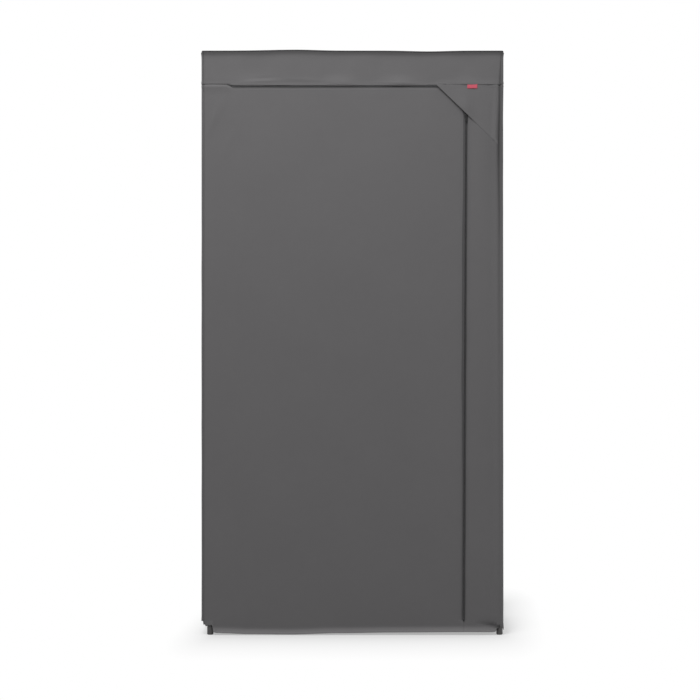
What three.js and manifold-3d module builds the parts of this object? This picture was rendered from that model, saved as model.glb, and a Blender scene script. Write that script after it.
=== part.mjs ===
// A portable fabric wardrobe: a push-together frame of thin steel tubes under a sewn cloth cover.
// Its front opens by an L-shaped zip. Millimetres, +Z up, the front faces -Y.
// The origin is on the floor, in the middle.
import * as THREE from "three";
import { mergeVertices } from "three/addons/utils/BufferGeometryUtils.js";
import Module from "manifold-3d";

const wasm = await Module();
wasm.setup();

// Driving sizes
const overall = { width: 880, depth: 450, height: 1700 };
const cloth = { thick: 0.8, seam: 0.3 };
const tube = { radius: 8, wall: 0.8, sides: 16 };
const joiner = { hub: 10.2, radius: 9.2, depth: 26, core: 10, fit: 0.3 };
const slack = { left: 14, right: 0.3 };
const foot = { height: 42, floor: 6, edge: 3, leg: 7 };
const base = { height: 70 };
const post = { split: 885, neck: 40, neckRadius: 6.9, neckWall: 0.8, taper: 4 };
const rail = { drop: 32, web: 12 };
const piping = { radius: 1.8, sides: 8 };
const hem = {
  front: 6,
  other: 10,
  cornerLeft: 42,
  cutWide: 16,
  cutHigh: 17,
  footRise: 24,
  footWide: 36,
  toe: 4,
};
const header = { drop: 98 };
const roofRise = { height: 4, placeShare: 0.31, spreadShare: 0.13 };
const zip = {
  rightInset: 109,
  lean: 8,
  leftInset: 83,
  low: 39,
  below: 4,
  corner: 55,
  slot: 4.7,
  slotTop: 3.3,
  tapeWide: 14,
  tapeThick: 0.6,
  coilWide: 1.85,
  coilHigh: 1.7,
  coilProud: 0.9,
  halfGap: 0.15,
  spread: 3,
  stop: 4,
};
const slider = {
  half: 8.5,
  wide: 5.5,
  plate: 1,
  clear: 0.3,
  flangeIn: 2.3,
  flangeOut: 3,
  flangeDeep: 0.5,
  closed: 1,
  wedgeFrom: 4.5,
  wedgeIn: 0.45,
  wedgeOut: 2.85,
  post: 1.3,
  cap: 2.6,
  capThick: 0.8,
};
const pull = { thick: 1.2, eye: 3.4, fit: 0.3, length: 20, wide: 5.6, lift: 0.3, sideways: 40 };
const parked = { side: 30, top: 10 };
const gusset = {
  wide: 186,
  top: 5,
  rightInset: 16,
  height: 179,
  base: 1.1,
  lift: 5.9,
  puff: 1,
  mouth: 70,
  climb: 6,
  foot: 30,
};
const tab = { rightInset: 77, wide: 29, high: 13, drop: 11, thick: 0.6, proud: 2.1 };

// Places that follow from them
const halfWidth = overall.width / 2;
const frontReach = gusset.base + gusset.lift + gusset.puff;
const yFront = -overall.depth / 2 + frontReach;
const yBack = overall.depth / 2;
const inset = cloth.thick + cloth.seam + joiner.hub;
const postX = { left: -halfWidth + inset + slack.left, right: halfWidth - inset - slack.right + cloth.seam };
const postY = { front: yFront + inset, back: yBack - inset };
const topHub = overall.height - inset;
const seamZ = overall.height - header.drop;
const pipeZ = overall.height - piping.radius;
const headerTop = overall.height - 2 * piping.radius - cloth.seam;
const railZ = topHub - rail.drop;
const tubeStart = joiner.core + joiner.fit;
const middleY = (postY.front + postY.back) / 2;
const boreRadius = tube.radius + joiner.fit;

const colours = {
  cloth: { color: 0x5c5b5d, roughness: 0.92, metalness: 0 },
  clothDark: { color: 0x4c4b4d, roughness: 0.92, metalness: 0 },
  zip: { color: 0x1b1b1d, roughness: 0.7, metalness: 0 },
  metal: { color: 0x2a2a2c, roughness: 0.4, metalness: 0.8 },
  tube: { color: 0xb8babd, roughness: 0.35, metalness: 0.6 },
  plastic: { color: 0x3b3a3c, roughness: 0.55, metalness: 0 },
  tab: { color: 0xc23a4c, roughness: 0.8, metalness: 0 },
};

// Turns a closed three.js geometry into a solid with its faces pointing out.
function solid(geometry) {
  const bare = new THREE.BufferGeometry();
  bare.setAttribute("position", geometry.getAttribute("position"));
  if (geometry.index) bare.setIndex(geometry.index);
  const merged = mergeVertices(bare, 1e-4);
  const source = merged.index.array;
  const faces = [];
  for (let i = 0; i < source.length; i += 3) {
    const [a, b, c] = source.slice(i, i + 3);
    if (a !== b && b !== c && a !== c) faces.push(a, b, c);
  }
  const build = (list) =>
    new wasm.Manifold(
      new wasm.Mesh({
        numProp: 3,
        vertProperties: new Float32Array(merged.attributes.position.array),
        triVerts: new Uint32Array(list),
      }),
    );
  const made = build(faces);
  if (made.volume() > 0) return made;
  const turned = [];
  for (let i = 0; i < faces.length; i += 3) turned.push(faces[i], faces[i + 2], faces[i + 1]);
  return build(turned);
}

const part = new THREE.Group();

// Adds a solid to the part as a named mesh.
function piece(name, shape, finish) {
  const made = shape.getMesh();
  const places = new Float32Array(made.numVert * 3);
  for (let i = 0; i < made.numVert; i++) {
    places.set(made.vertProperties.subarray(i * made.numProp, i * made.numProp + 3), i * 3);
  }
  const geometry = new THREE.BufferGeometry();
  geometry.setAttribute("position", new THREE.BufferAttribute(places, 3));
  geometry.setIndex(new THREE.BufferAttribute(new Uint32Array(made.triVerts), 1));
  geometry.computeVertexNormals();
  const mesh = new THREE.Mesh(geometry, new THREE.MeshStandardMaterial(colours[finish]));
  mesh.name = name;
  part.add(mesh);
  return mesh;
}

const joined = (shapes) => shapes.reduce((a, b) => a.add(b));
const smooth = (t) => {
  const k = Math.min(Math.max(t, 0), 1);
  return k * k * (3 - 2 * k);
};

// A turned profile about +Z, moved and turned so that +Z lies along a direction.
function turned(profile, sides, direction, at) {
  const points = profile.map(([r, z]) => new THREE.Vector2(r, z));
  const geometry = new THREE.LatheGeometry(points, sides);
  const aim = new THREE.Quaternion().setFromUnitVectors(new THREE.Vector3(0, 1, 0), direction);
  geometry.applyQuaternion(aim);
  geometry.translate(at.x, at.y, at.z);
  return solid(geometry);
}

const rod = (radius, from, to, direction, at, sides = tube.sides) =>
  turned([[0, from], [radius, from], [radius, to], [0, to]], sides, direction, at);

const hollow = (outer, inner, from, to, direction, at) =>
  turned([[inner, from], [outer, from], [outer, to], [inner, to], [inner, from]], tube.sides, direction, at);

const toward = {
  left: new THREE.Vector3(-1, 0, 0),
  right: new THREE.Vector3(1, 0, 0),
  front: new THREE.Vector3(0, -1, 0),
  back: new THREE.Vector3(0, 1, 0),
  up: new THREE.Vector3(0, 0, 1),
  down: new THREE.Vector3(0, 0, -1),
};
const opposite = { left: "right", right: "left", front: "back", back: "front" };
const point = (x, y, z) => new THREE.Vector3(x, y, z);

// A box between two corners.
function block(low, high) {
  const size = new THREE.Vector3().subVectors(high, low);
  const centre = new THREE.Vector3().addVectors(high, low).multiplyScalar(0.5);
  const geometry = new THREE.BoxGeometry(size.x, size.y, size.z);
  geometry.translate(centre.x, centre.y, centre.z);
  return solid(geometry);
}

// A flat outline in X and Z, extruded along Y from its outer plane inwards.
function prism(outline, outer, deep) {
  const shape = new THREE.Shape(outline.map(([x, z]) => new THREE.Vector2(x, z)));
  const geometry = new THREE.ExtrudeGeometry(shape, { depth: deep, bevelEnabled: false });
  geometry.rotateX(Math.PI / 2);
  geometry.translate(0, outer + deep, 0);
  return solid(geometry);
}

// A flat outline in Y and Z, extruded along X from its left plane.
function sidePrism(outline, left, wide) {
  const shape = new THREE.Shape(outline.map(([y, z]) => new THREE.Vector2(y, z)));
  const geometry = new THREE.ExtrudeGeometry(shape, { depth: wide, bevelEnabled: false });
  geometry.applyMatrix4(new THREE.Matrix4().makeBasis(toward.back, toward.up, toward.right));
  geometry.translate(left, 0, 0);
  return solid(geometry);
}

// A sheet over a grid of X and Z lines, whose outer face stands proud of a plane by a given height.
function sheet(xs, zs, plane, proud, thick) {
  const places = [];
  for (const side of [0, thick]) {
    for (const z of zs) for (const x of xs) places.push(x, plane - proud(x, z) + side, z);
  }
  const columns = xs.length;
  const rows = zs.length;
  const layer = columns * rows;
  const faces = [];
  const quad = (a, b, c, d) => faces.push(a, b, c, a, c, d);
  for (let j = 0; j + 1 < rows; j++) {
    for (let i = 0; i + 1 < columns; i++) {
      const k = j * columns + i;
      quad(k, k + 1, k + columns + 1, k + columns);
      quad(layer + k, layer + k + columns, layer + k + columns + 1, layer + k + 1);
    }
  }
  const rim = [];
  for (let i = 0; i < columns - 1; i++) rim.push(i);
  for (let j = 0; j < rows - 1; j++) rim.push(j * columns + columns - 1);
  for (let i = columns - 1; i > 0; i--) rim.push((rows - 1) * columns + i);
  for (let j = rows - 1; j > 0; j--) rim.push(j * columns);
  rim.forEach((a, i) => {
    const b = rim[(i + 1) % rim.length];
    quad(a, layer + a, layer + b, b);
  });
  const geometry = new THREE.BufferGeometry();
  geometry.setAttribute("position", new THREE.BufferAttribute(new Float32Array(places), 3));
  geometry.setIndex(faces);
  return solid(geometry);
}

// Evenly spaced values, both ends included.
function spread(from, to, count) {
  return Array.from({ length: count + 1 }, (_, i) => from + ((to - from) * i) / count);
}

// Frame: joiners with sockets for the tubes
function joinerAt(at, arms, leg) {
  const reach = joiner.core + joiner.depth;
  const ball = new THREE.SphereGeometry(joiner.hub, 12, 8);
  ball.translate(at.x, at.y, at.z);
  let body = joined([solid(ball), ...arms.map((arm) => rod(joiner.radius, 0, reach, toward[arm], at))]);
  if (leg) body = body.add(rod(foot.leg, 0, leg, toward.down, at));
  const bore = (arm) => rod(boreRadius, joiner.core, reach + joiner.fit, toward[arm], at);
  for (const arm of arms) body = body.subtract(bore(arm));
  return body;
}

const tubeAlong = (from, to) => {
  const direction = new THREE.Vector3().subVectors(to, from);
  const length = direction.length();
  const inner = tube.radius - tube.wall;
  return hollow(tube.radius, inner, tubeStart, length - tubeStart, direction.normalize(), from);
};

for (const side of ["left", "right"]) {
  for (const end of ["front", "back"]) {
    const place = `${end}_${side}`;
    const low = point(postX[side], postY[end], base.height);
    const high = point(postX[side], postY[end], topHub);
    const inward = [opposite[side], opposite[end]];
    const leg = base.height - foot.floor - joiner.fit;
    piece(`base_corner_${place}`, joinerAt(low, ["up", ...inward], leg), "plastic");
    piece(`top_corner_${place}`, joinerAt(high, ["down", ...inward]), "plastic");

    const bore = foot.leg + joiner.fit;
    const wall = joiner.radius;
    const cap = [[0, 0], [wall - foot.edge, 0]];
    for (const a of spread(0, Math.PI / 2, 4).slice(1)) {
      cap.push([wall - foot.edge * (1 - Math.sin(a)), foot.edge * (1 - Math.cos(a))]);
    }
    cap.push([wall, foot.height], [bore, foot.height], [bore, foot.floor], [0, foot.floor]);
    piece(`foot_cap_${place}`, turned(cap, tube.sides, toward.up, point(low.x, low.y, 0)), "plastic");

    const inner = tube.radius - tube.wall;
    const lower = post.split - low.z - joiner.fit;
    piece(`post_lower_${place}`, hollow(tube.radius, inner, tubeStart, lower, toward.up, low), "tube");
    const neckIn = post.neckRadius - post.neckWall;
    const top = high.z - tubeStart - post.split;
    const upper = [
      [neckIn, -post.neck],
      [post.neckRadius, -post.neck],
      [post.neckRadius, 0],
      [tube.radius, 0],
      [tube.radius, top],
      [inner, top],
      [inner, post.taper],
      [neckIn, 0],
      [neckIn, -post.neck],
    ];
    const splice = point(low.x, low.y, post.split);
    piece(`post_upper_${place}`, turned(upper, tube.sides, toward.up, splice), "tube");
  }
}

for (const end of ["front", "back"]) {
  const span = (z) => [point(postX.left, postY[end], z), point(postX.right, postY[end], z)];
  piece(`top_rail_${end}`, tubeAlong(...span(topHub)), "tube");
  piece(`base_rail_${end}`, tubeAlong(...span(base.height)), "tube");
}

// Drop brackets at the middle of the side tubes, and the hanging rail between them
for (const side of ["left", "right"]) {
  const middle = point(postX[side], middleY, topHub);
  const corner = (end) => point(postX[side], postY[end], topHub);
  const low = point(postX[side], middleY, railZ);
  const inward = toward[opposite[side]];
  const reach = joiner.core + joiner.depth;
  const web = rail.web / 2;
  let bracket = joined([
    rod(joiner.radius, -reach, reach, toward.back, middle),
    rod(joiner.radius, -joiner.radius, reach, inward, low),
    block(point(low.x - web, middleY - web, low.z), point(low.x + web, middleY + web, topHub)),
  ]);
  for (const end of ["front", "back"]) {
    bracket = bracket.subtract(rod(boreRadius, joiner.core, reach + joiner.fit, toward[end], middle));
    piece(`top_side_${end}_${side}`, tubeAlong(corner(end), middle), "tube");
  }
  bracket = bracket.subtract(rod(boreRadius, joiner.core, reach + joiner.fit, inward, low));
  piece(`drop_bracket_${side}`, bracket, "plastic");
  const foot = (end) => point(postX[side], postY[end], base.height);
  piece(`base_side_${side}`, tubeAlong(foot("front"), foot("back")), "tube");
}
const railEnd = (side) => point(postX[side], middleY, railZ);
piece("hanging_rail", tubeAlong(railEnd("left"), railEnd("right")), "tube");

// The zip's centre line: up the leaning right side, round the corner and left under the header
const zipTop = new THREE.Vector2(halfWidth - zip.rightInset, seamZ - zip.below);
const zipLow = new THREE.Vector2(zipTop.x - zip.lean, zip.low);
const zipLeft = new THREE.Vector2(-halfWidth + zip.leftInset, zipTop.y);
const upLine = new THREE.Vector2().subVectors(zipTop, zipLow).normalize();
const cornerAngle = Math.acos(upLine.x);
const tangent = zip.corner * Math.tan((Math.PI - cornerAngle) / 2);
const bendStart = zipTop.clone().addScaledVector(upLine, -tangent);
const bendEnd = new THREE.Vector2(zipTop.x - tangent, zipTop.y);
const bendCentre = new THREE.Vector2(bendEnd.x, bendEnd.y - zip.corner);
const bendSteps = 12;
const sideRun = bendStart.distanceTo(zipLow);
const bendTurn = Math.PI - cornerAngle;
const bendRun = zip.corner * bendTurn;
const topRun = bendEnd.x - zipLeft.x;
const zipRun = sideRun + bendRun + topRun;
const sidePark = sideRun - parked.side;
const topPark = sideRun + bendRun + parked.top;

// A point of the zip line and the direction from it to the door, at a distance along the line.
function zipAt(s) {
  if (s <= sideRun) {
    return { at: zipLow.clone().addScaledVector(upLine, s), door: new THREE.Vector2(-upLine.y, upLine.x) };
  }
  if (s >= sideRun + bendRun) {
    const at = new THREE.Vector2(bendEnd.x - (s - sideRun - bendRun), bendEnd.y);
    return { at, door: new THREE.Vector2(0, -1) };
  }
  const a = Math.PI / 2 - bendTurn * (1 - (s - sideRun) / bendRun);
  const out = new THREE.Vector2(Math.cos(a), Math.sin(a));
  return { at: bendCentre.clone().addScaledVector(out, zip.corner), door: out.clone().negate() };
}

// The two chains part between the sliders, so the door's edge stands back there.
function parting(s) {
  const from = sidePark - slider.closed;
  const to = topPark + slider.closed;
  const ramp = slider.wedgeFrom;
  return zip.spread * smooth((s - from) / ramp) * smooth((to - s) / ramp);
}

function stations(from, to) {
  const ramp = slider.wedgeFrom + slider.closed;
  const list = [
    ...spread(sidePark - slider.closed, sidePark + ramp, 6),
    ...spread(sideRun, sideRun + bendRun, bendSteps),
    ...spread(topPark - ramp, topPark + slider.closed, 6),
  ];
  return [from, ...list.filter((s) => s > from && s < to), to];
}

const zipPoint = (s, offset) => {
  const { at, door } = zipAt(s);
  return at.clone().addScaledVector(door, offset);
};

// A strip along the zip line between two offsets and two heights out of the cloth's plane.
function strip(from, to, near, far, low, high) {
  const list = stations(from, to);
  const places = [];
  for (const s of list) {
    for (const [offset, out] of [[near, low], [far, low], [far, high], [near, high]]) {
      const p = zipPoint(s, offset(s));
      places.push(p.x, yFront - out, p.y);
    }
  }
  const faces = [];
  const quad = (a, b, c, d) => faces.push(a, b, c, a, c, d);
  for (let i = 0; i + 1 < list.length; i++) {
    for (let k = 0; k < 4; k++) {
      const n = (k + 1) % 4;
      quad(4 * i + k, 4 * i + n, 4 * i + 4 + n, 4 * i + 4 + k);
    }
  }
  const last = 4 * (list.length - 1);
  quad(3, 2, 1, 0);
  quad(last, last + 1, last + 2, last + 3);
  const geometry = new THREE.BufferGeometry();
  geometry.setAttribute("position", new THREE.BufferAttribute(new Float32Array(places), 3));
  geometry.setIndex(faces);
  return solid(geometry);
}

// The fold of the open door: a line from the zip's left end to its low end
const foldTop = new THREE.Vector2(zipLeft.x, seamZ - cloth.seam);
const foldLow = zipLow.clone();
const fold = new THREE.Vector2().subVectors(foldLow, foldTop).normalize();
const foldAcross = new THREE.Vector2(-fold.y, fold.x);
const foldShift = (p, shift) => p.clone().addScaledVector(foldAcross, shift);
const overrun = 20;

// A shape cut to an outline across the front
const cutOut = (shape, outline) => shape.intersect(prism(outline, yFront - overrun, 2 * overrun));

// Everything on the door's side of the fold
function doorSide(shape, gap) {
  const a = foldShift(foldTop, gap).addScaledVector(fold, -overrun);
  const b = foldShift(foldLow, gap).addScaledVector(fold, overrun);
  const c = foldShift(b, overall.width);
  const d = foldShift(a, overall.width);
  return cutOut(shape, [a, b, c, d].map((p) => [p.x, p.y]));
}

const tapeOut = -cloth.thick - cloth.seam;
const tapeIn = tapeOut - zip.tapeThick;
const coilIn = zip.coilProud - zip.coilHigh;
const constant = (value) => () => value;
const doorOffset = (value) => (s) => value + parting(s);
const endRoom = cloth.seam - (zip.below * fold.x) / fold.y;
const stopRoom = endRoom + zip.stop + 2 * zip.halfGap;
const doorEnd = endRoom + zip.tapeWide;

const rootStrip = (ends, near, far, low, high) =>
  strip(ends, zipRun - ends, constant(-far), constant(-near), low, high);
const doorStrip = (near, far, low, high) =>
  doorSide(strip(doorEnd, zipRun - doorEnd, doorOffset(near), doorOffset(far), low, high), cloth.seam);
const coilFar = zip.halfGap + zip.coilWide;
piece("zip_tape_surround", rootStrip(0, zip.halfGap, zip.tapeWide, tapeIn, tapeOut), "zip");
piece("zip_coil_surround", rootStrip(stopRoom, zip.halfGap, coilFar, coilIn, zip.coilProud), "zip");
piece("zip_tape_door", doorStrip(zip.halfGap, zip.tapeWide, tapeIn, tapeOut), "zip");
piece("zip_coil_door", doorStrip(zip.halfGap, coilFar, coilIn, zip.coilProud), "zip");
for (const [name, from] of [["zip_stop_low", endRoom], ["zip_stop_left", zipRun - endRoom - zip.stop]]) {
  const near = constant(-slider.flangeIn);
  piece(name, strip(from, from + zip.stop, near, constant(-zip.halfGap), coilIn, zip.coilProud), "metal");
}

// Sliders and pulls, drawn along the zip (a), toward the door (b) and out of the cloth (c)
function local(shape, s, closing) {
  const { at, door } = zipAt(s);
  const along = new THREE.Vector2(door.y, -door.x).multiplyScalar(closing);
  const frame = new THREE.Matrix4().makeBasis(
    point(along.x, 0, along.y),
    point(door.x, 0, door.y),
    point(0, -1, 0),
  );
  frame.setPosition(at.x, yFront, at.y);
  const made = shape.getMesh();
  const geometry = new THREE.BufferGeometry();
  geometry.setAttribute("position", new THREE.BufferAttribute(new Float32Array(made.vertProperties), 3));
  geometry.setIndex(new THREE.BufferAttribute(new Uint32Array(made.triVerts), 1));
  geometry.applyMatrix4(frame);
  return solid(geometry);
}

const plateLow = zip.coilProud + slider.clear;
const plateHigh = plateLow + slider.plate;
const backHigh = tapeIn - slider.clear;
const backLow = backHigh - slider.plate;
const pullLow = plateHigh + pull.lift;
const pullHigh = pullLow + pull.thick;
const capLow = pullHigh + pull.lift;
const capHigh = capLow + slider.capThick;

function sliderBody() {
  const { half, wide, flangeIn, flangeOut } = slider;
  const flangeLow = plateLow - slider.flangeDeep - zip.coilProud;
  const origin = point(0, 0, 0);
  return joined([
    block(point(-half, -wide, plateLow), point(half, wide, plateHigh)),
    block(point(-half, -wide, backLow), point(half, wide, backHigh)),
    block(point(slider.wedgeFrom, slider.wedgeIn, backLow), point(half, slider.wedgeOut, plateHigh)),
    block(point(-half, -flangeOut, flangeLow), point(half, -flangeIn, plateHigh)),
    block(point(-half, flangeIn, flangeLow), point(-2 * slider.closed, flangeOut, plateHigh)),
    rod(slider.post, plateLow, capHigh, toward.up, origin, 12),
    rod(slider.cap, capLow, capHigh, toward.up, origin, 16),
  ]);
}

// A pull tab with its eye at the origin, hanging along a direction in the cloth's plane.
function pullTab(s, direction) {
  const centre = zipAt(s).at;
  const shape = new THREE.Shape();
  const half = pull.wide / 2;
  const shoulder = Math.asin(half / pull.eye);
  shape.absarc(0, 0, pull.eye, -Math.PI / 2 + shoulder, (3 * Math.PI) / 2 - shoulder, false);
  shape.lineTo(-half, -pull.length + half);
  shape.absarc(0, -pull.length + half, half, Math.PI, 2 * Math.PI, false);
  shape.closePath();
  const hole = new THREE.Path();
  hole.absarc(0, 0, slider.post + pull.fit, 0, 2 * Math.PI, true);
  shape.holes.push(hole);
  const how = { depth: pull.thick, bevelEnabled: false, curveSegments: 6 };
  const geometry = new THREE.ExtrudeGeometry(shape, how);
  geometry.rotateZ(direction + Math.PI / 2);
  geometry.rotateX(Math.PI / 2);
  geometry.translate(centre.x, yFront - pullLow, centre.y);
  return solid(geometry);
}

piece("zip_slider_side", local(sliderBody(), sidePark, 1), "metal");
piece("zip_slider_top", local(sliderBody(), topPark, -1), "metal");
piece("zip_pull_side", pullTab(sidePark, -Math.PI / 2), "metal");
piece("zip_pull_top", pullTab(topPark, -THREE.MathUtils.degToRad(pull.sideways)), "metal");

// Cover: the front is cut from panels whose edges follow the zip's slot
const slotTurn = (s) => smooth((s - sideRun) / bendRun);
const slotHalf = (s) => zip.slot + (zip.slotTop - zip.slot) * slotTurn(s);
const slotEdge = (from, to, side) => {
  const list = stations(from, to);
  return list.map((s) => {
    const p = zipPoint(s, side > 0 ? slotHalf(s) + parting(s) : -slotHalf(s));
    return [p.x, p.y];
  });
};
const seamBelow = seamZ - cloth.seam;

// The roof and the header's top edge rise a little over the front rail.
const rise = (x) => {
  const t = (x + halfWidth) / overall.width - roofRise.placeShare;
  return roofRise.height * Math.exp(-((t / roofRise.spreadShare) ** 2));
};

// Soft puffs of the header, as shares of its width and height, with their heights
const puffShares = [
  { xShare: 0.46, zShare: 0.45, wideShare: 0.05, highShare: 0.24, proud: 3.4 },
  { xShare: 0.66, zShare: 0.4, wideShare: 0.055, highShare: 0.26, proud: 3 },
  { xShare: 0.2, zShare: 0.35, wideShare: 0.09, highShare: 0.22, proud: 1.8 },
  { xShare: 0.86, zShare: 0.5, wideShare: 0.06, highShare: 0.26, proud: 1.6 },
];
const headerHigh = headerTop - seamZ;
function headerProud(x, z) {
  const u = (x + halfWidth) / overall.width;
  const v = (z - seamZ) / headerHigh;
  const edge = smooth(v / puffShares[0].highShare) * smooth((1 - v) / puffShares[0].highShare);
  const bump = (p) =>
    p.proud * Math.exp(-(((u - p.xShare) / p.wideShare) ** 2) - ((v - p.zShare) / p.highShare) ** 2);
  return edge * puffShares.reduce((sum, p) => sum + bump(p), 0);
}

function headerFront() {
  const xs = spread(-halfWidth, halfWidth, 30);
  const zs = spread(seamZ, headerTop, 6);
  const flat = sheet(xs, zs, yFront, headerProud, cloth.thick);
  return flat.warp((v) => {
    v[2] += rise(v[0]) * smooth((v[2] - seamZ) / headerHigh);
  });
}
piece("header_front", headerFront(), "cloth");

// Two faint slanting creases near the fixed panel's top corner, as shares of the width and height from it
const creaseShares = [
  { xShare: 0.055, zShare: 0.05, slopeShare: 0.42, longShare: 0.035, proud: 2.2 },
  { xShare: 0.09, zShare: 0.1, slopeShare: 0.5, longShare: 0.03, proud: 1.6 },
];
const creaseWide = 12;
const creasedShare = 0.8;
function panelProud(x, z) {
  let sum = 0;
  for (const c of creaseShares) {
    const dx = x + halfWidth - c.xShare * overall.width;
    const dz = z - seamBelow + c.zShare * overall.height;
    const along = dz * Math.cos(c.slopeShare) + dx * Math.sin(c.slopeShare);
    const across = dx * Math.cos(c.slopeShare) - dz * Math.sin(c.slopeShare);
    sum += c.proud * Math.exp(-((across / creaseWide) ** 2) - (along / (c.longShare * overall.height)) ** 2);
  }
  const away = foldShift(foldTop, 0).sub(new THREE.Vector2(x, z)).dot(foldAcross);
  return sum * smooth(away / (2 * creaseWide));
}

const hemLeft = -halfWidth + cloth.thick + cloth.seam;
function fixedPanel() {
  const half = cloth.seam / 2;
  const top = foldShift(foldTop, -half);
  const low = foldShift(foldLow, -half);
  const cutX = -halfWidth + hem.cutWide;
  const outline = [
    [-halfWidth, hem.cornerLeft],
    [cutX, hem.cornerLeft - hem.cutHigh],
    [cutX + 2 * joiner.radius, hem.cornerLeft - hem.cutHigh],
    [cutX + 2 * joiner.radius + hem.toe, hem.front],
    [low.x, hem.front],
    [low.x, low.y],
    [top.x, top.y],
    [top.x, seamBelow],
    [-halfWidth, seamBelow],
  ];
  const creased = overall.height * creasedShare;
  const xs = [-halfWidth, ...spread(hemLeft, zipLeft.x + overrun, 8), foldLow.x];
  const zs = [0, creased, ...spread(creased + overrun, seamBelow, 14)];
  const proud = (x, z) => (z > creased && x < zipLeft.x + overrun ? panelProud(x, z) : 0);
  return cutOut(sheet(xs, zs, yFront, proud, cloth.thick), outline);
}
piece("front_panel_fixed", fixedPanel(), "cloth");

function doorFlap() {
  return doorSide(prism(slotEdge(0, zipRun, 1), yFront, cloth.thick), cloth.seam / 2);
}
piece("door_flap", doorFlap(), "cloth");

function frontColumn() {
  const edge = slotEdge(0, sideRun + bendRun, -1).filter(([, z]) => z < seamBelow);
  const end = edge[edge.length - 1];
  const footX = halfWidth - hem.footWide;
  const outline = [
    [foldLow.x + cloth.seam, hem.other],
    [foldLow.x + cloth.seam, foldLow.y - cloth.seam],
    [edge[0][0], foldLow.y - cloth.seam],
    ...edge.slice(1),
    [end[0], seamBelow],
    [halfWidth, seamBelow],
    [halfWidth, hem.footRise],
    [footX + hem.toe, hem.footRise],
    [footX, hem.other],
  ];
  return prism(outline, yFront, cloth.thick);
}
piece("front_column", frontColumn(), "cloth");

// Sides, back and their header bands, butted inside the front and back panels
const sideFront = yFront + cloth.thick + cloth.seam;
const sideBack = yBack - cloth.thick - cloth.seam;
const raisedHem = (from, to, rises) => [
  [from, seamBelow],
  [from, rises[0]],
  [from + hem.footWide - hem.toe, rises[0]],
  [from + hem.footWide, hem.other],
  [to - hem.footWide, hem.other],
  [to - hem.footWide + hem.toe, rises[1]],
  [to, rises[1]],
  [to, seamBelow],
];
const hemRises = { left: [hem.cornerLeft, hem.footRise], right: [hem.footRise, hem.footRise] };
for (const [side, left] of [["left", -halfWidth], ["right", halfWidth - cloth.thick]]) {
  const outline = raisedHem(sideFront, sideBack, hemRises[side]);
  piece(`cover_${side}`, sidePrism(outline, left, cloth.thick), "cloth");
  const low = point(left, sideFront, seamZ);
  piece(`header_${side}`, block(low, point(left + cloth.thick, sideBack, headerTop)), "cloth");
}
const backOutline = raisedHem(-halfWidth, halfWidth, hemRises.right);
const backPlane = yBack - cloth.thick;
piece("cover_back", prism(backOutline, backPlane, cloth.thick), "clothDark");
const backHeader = block(point(-halfWidth, backPlane, seamZ), point(halfWidth, yBack, headerTop));
piece("header_back", backHeader, "clothDark");

// Piping: one closed bead round the roof's edge, and the roof inside it
function pipingRing() {
  const r = piping.radius;
  const corners = [
    [-halfWidth + r, yFront + r],
    [halfWidth - r, yFront + r],
    [halfWidth - r, yBack - r],
    [-halfWidth + r, yBack - r],
  ];
  const path = [];
  spread(corners[0][0], corners[1][0], 24).forEach((x) => path.push([x, corners[0][1], rise(x)]));
  path[0][2] = 0;
  path[path.length - 1][2] = 0;
  path.push([...corners[2], 0], [...corners[3], 0]);
  const places = [];
  path.forEach(([x, y, up]) => {
    const sx = Math.abs(x) > halfWidth - 2 * r ? Math.sign(x) : 0;
    const sy = Math.sign(y);
    for (let k = 0; k < piping.sides; k++) {
      const a = (2 * Math.PI * k) / piping.sides;
      const out = r * Math.cos(a);
      places.push(x + sx * out, y + sy * out, pipeZ + up + r * Math.sin(a));
    }
  });
  const faces = [];
  for (let i = 0; i < path.length; i++) {
    const j = (i + 1) % path.length;
    for (let k = 0; k < piping.sides; k++) {
      const n = (k + 1) % piping.sides;
      const [a, b] = [i * piping.sides, j * piping.sides];
      faces.push(a + k, b + k, b + n, a + k, b + n, a + n);
    }
  }
  const geometry = new THREE.BufferGeometry();
  geometry.setAttribute("position", new THREE.BufferAttribute(new Float32Array(places), 3));
  geometry.setIndex(faces);
  return solid(geometry);
}
piece("roof_piping", pipingRing(), "cloth");

function roof() {
  const edge = 2 * piping.radius + cloth.seam;
  const xs = spread(-halfWidth + edge, halfWidth - edge, 16);
  const ys = spread(yFront + edge, yBack - edge, 4);
  const deep = ys[ys.length - 1] - ys[0];
  const geometryAt = sheet(xs, ys, 0, () => 0, cloth.thick);
  return geometryAt.warp((v) => {
    const [x, down, y] = v;
    const near = smooth(1 - (2 * (y - ys[0])) / deep);
    v[1] = y;
    v[2] = overall.height - down + rise(x) * near;
  });
}
piece("cover_roof", roof(), "cloth");

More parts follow.
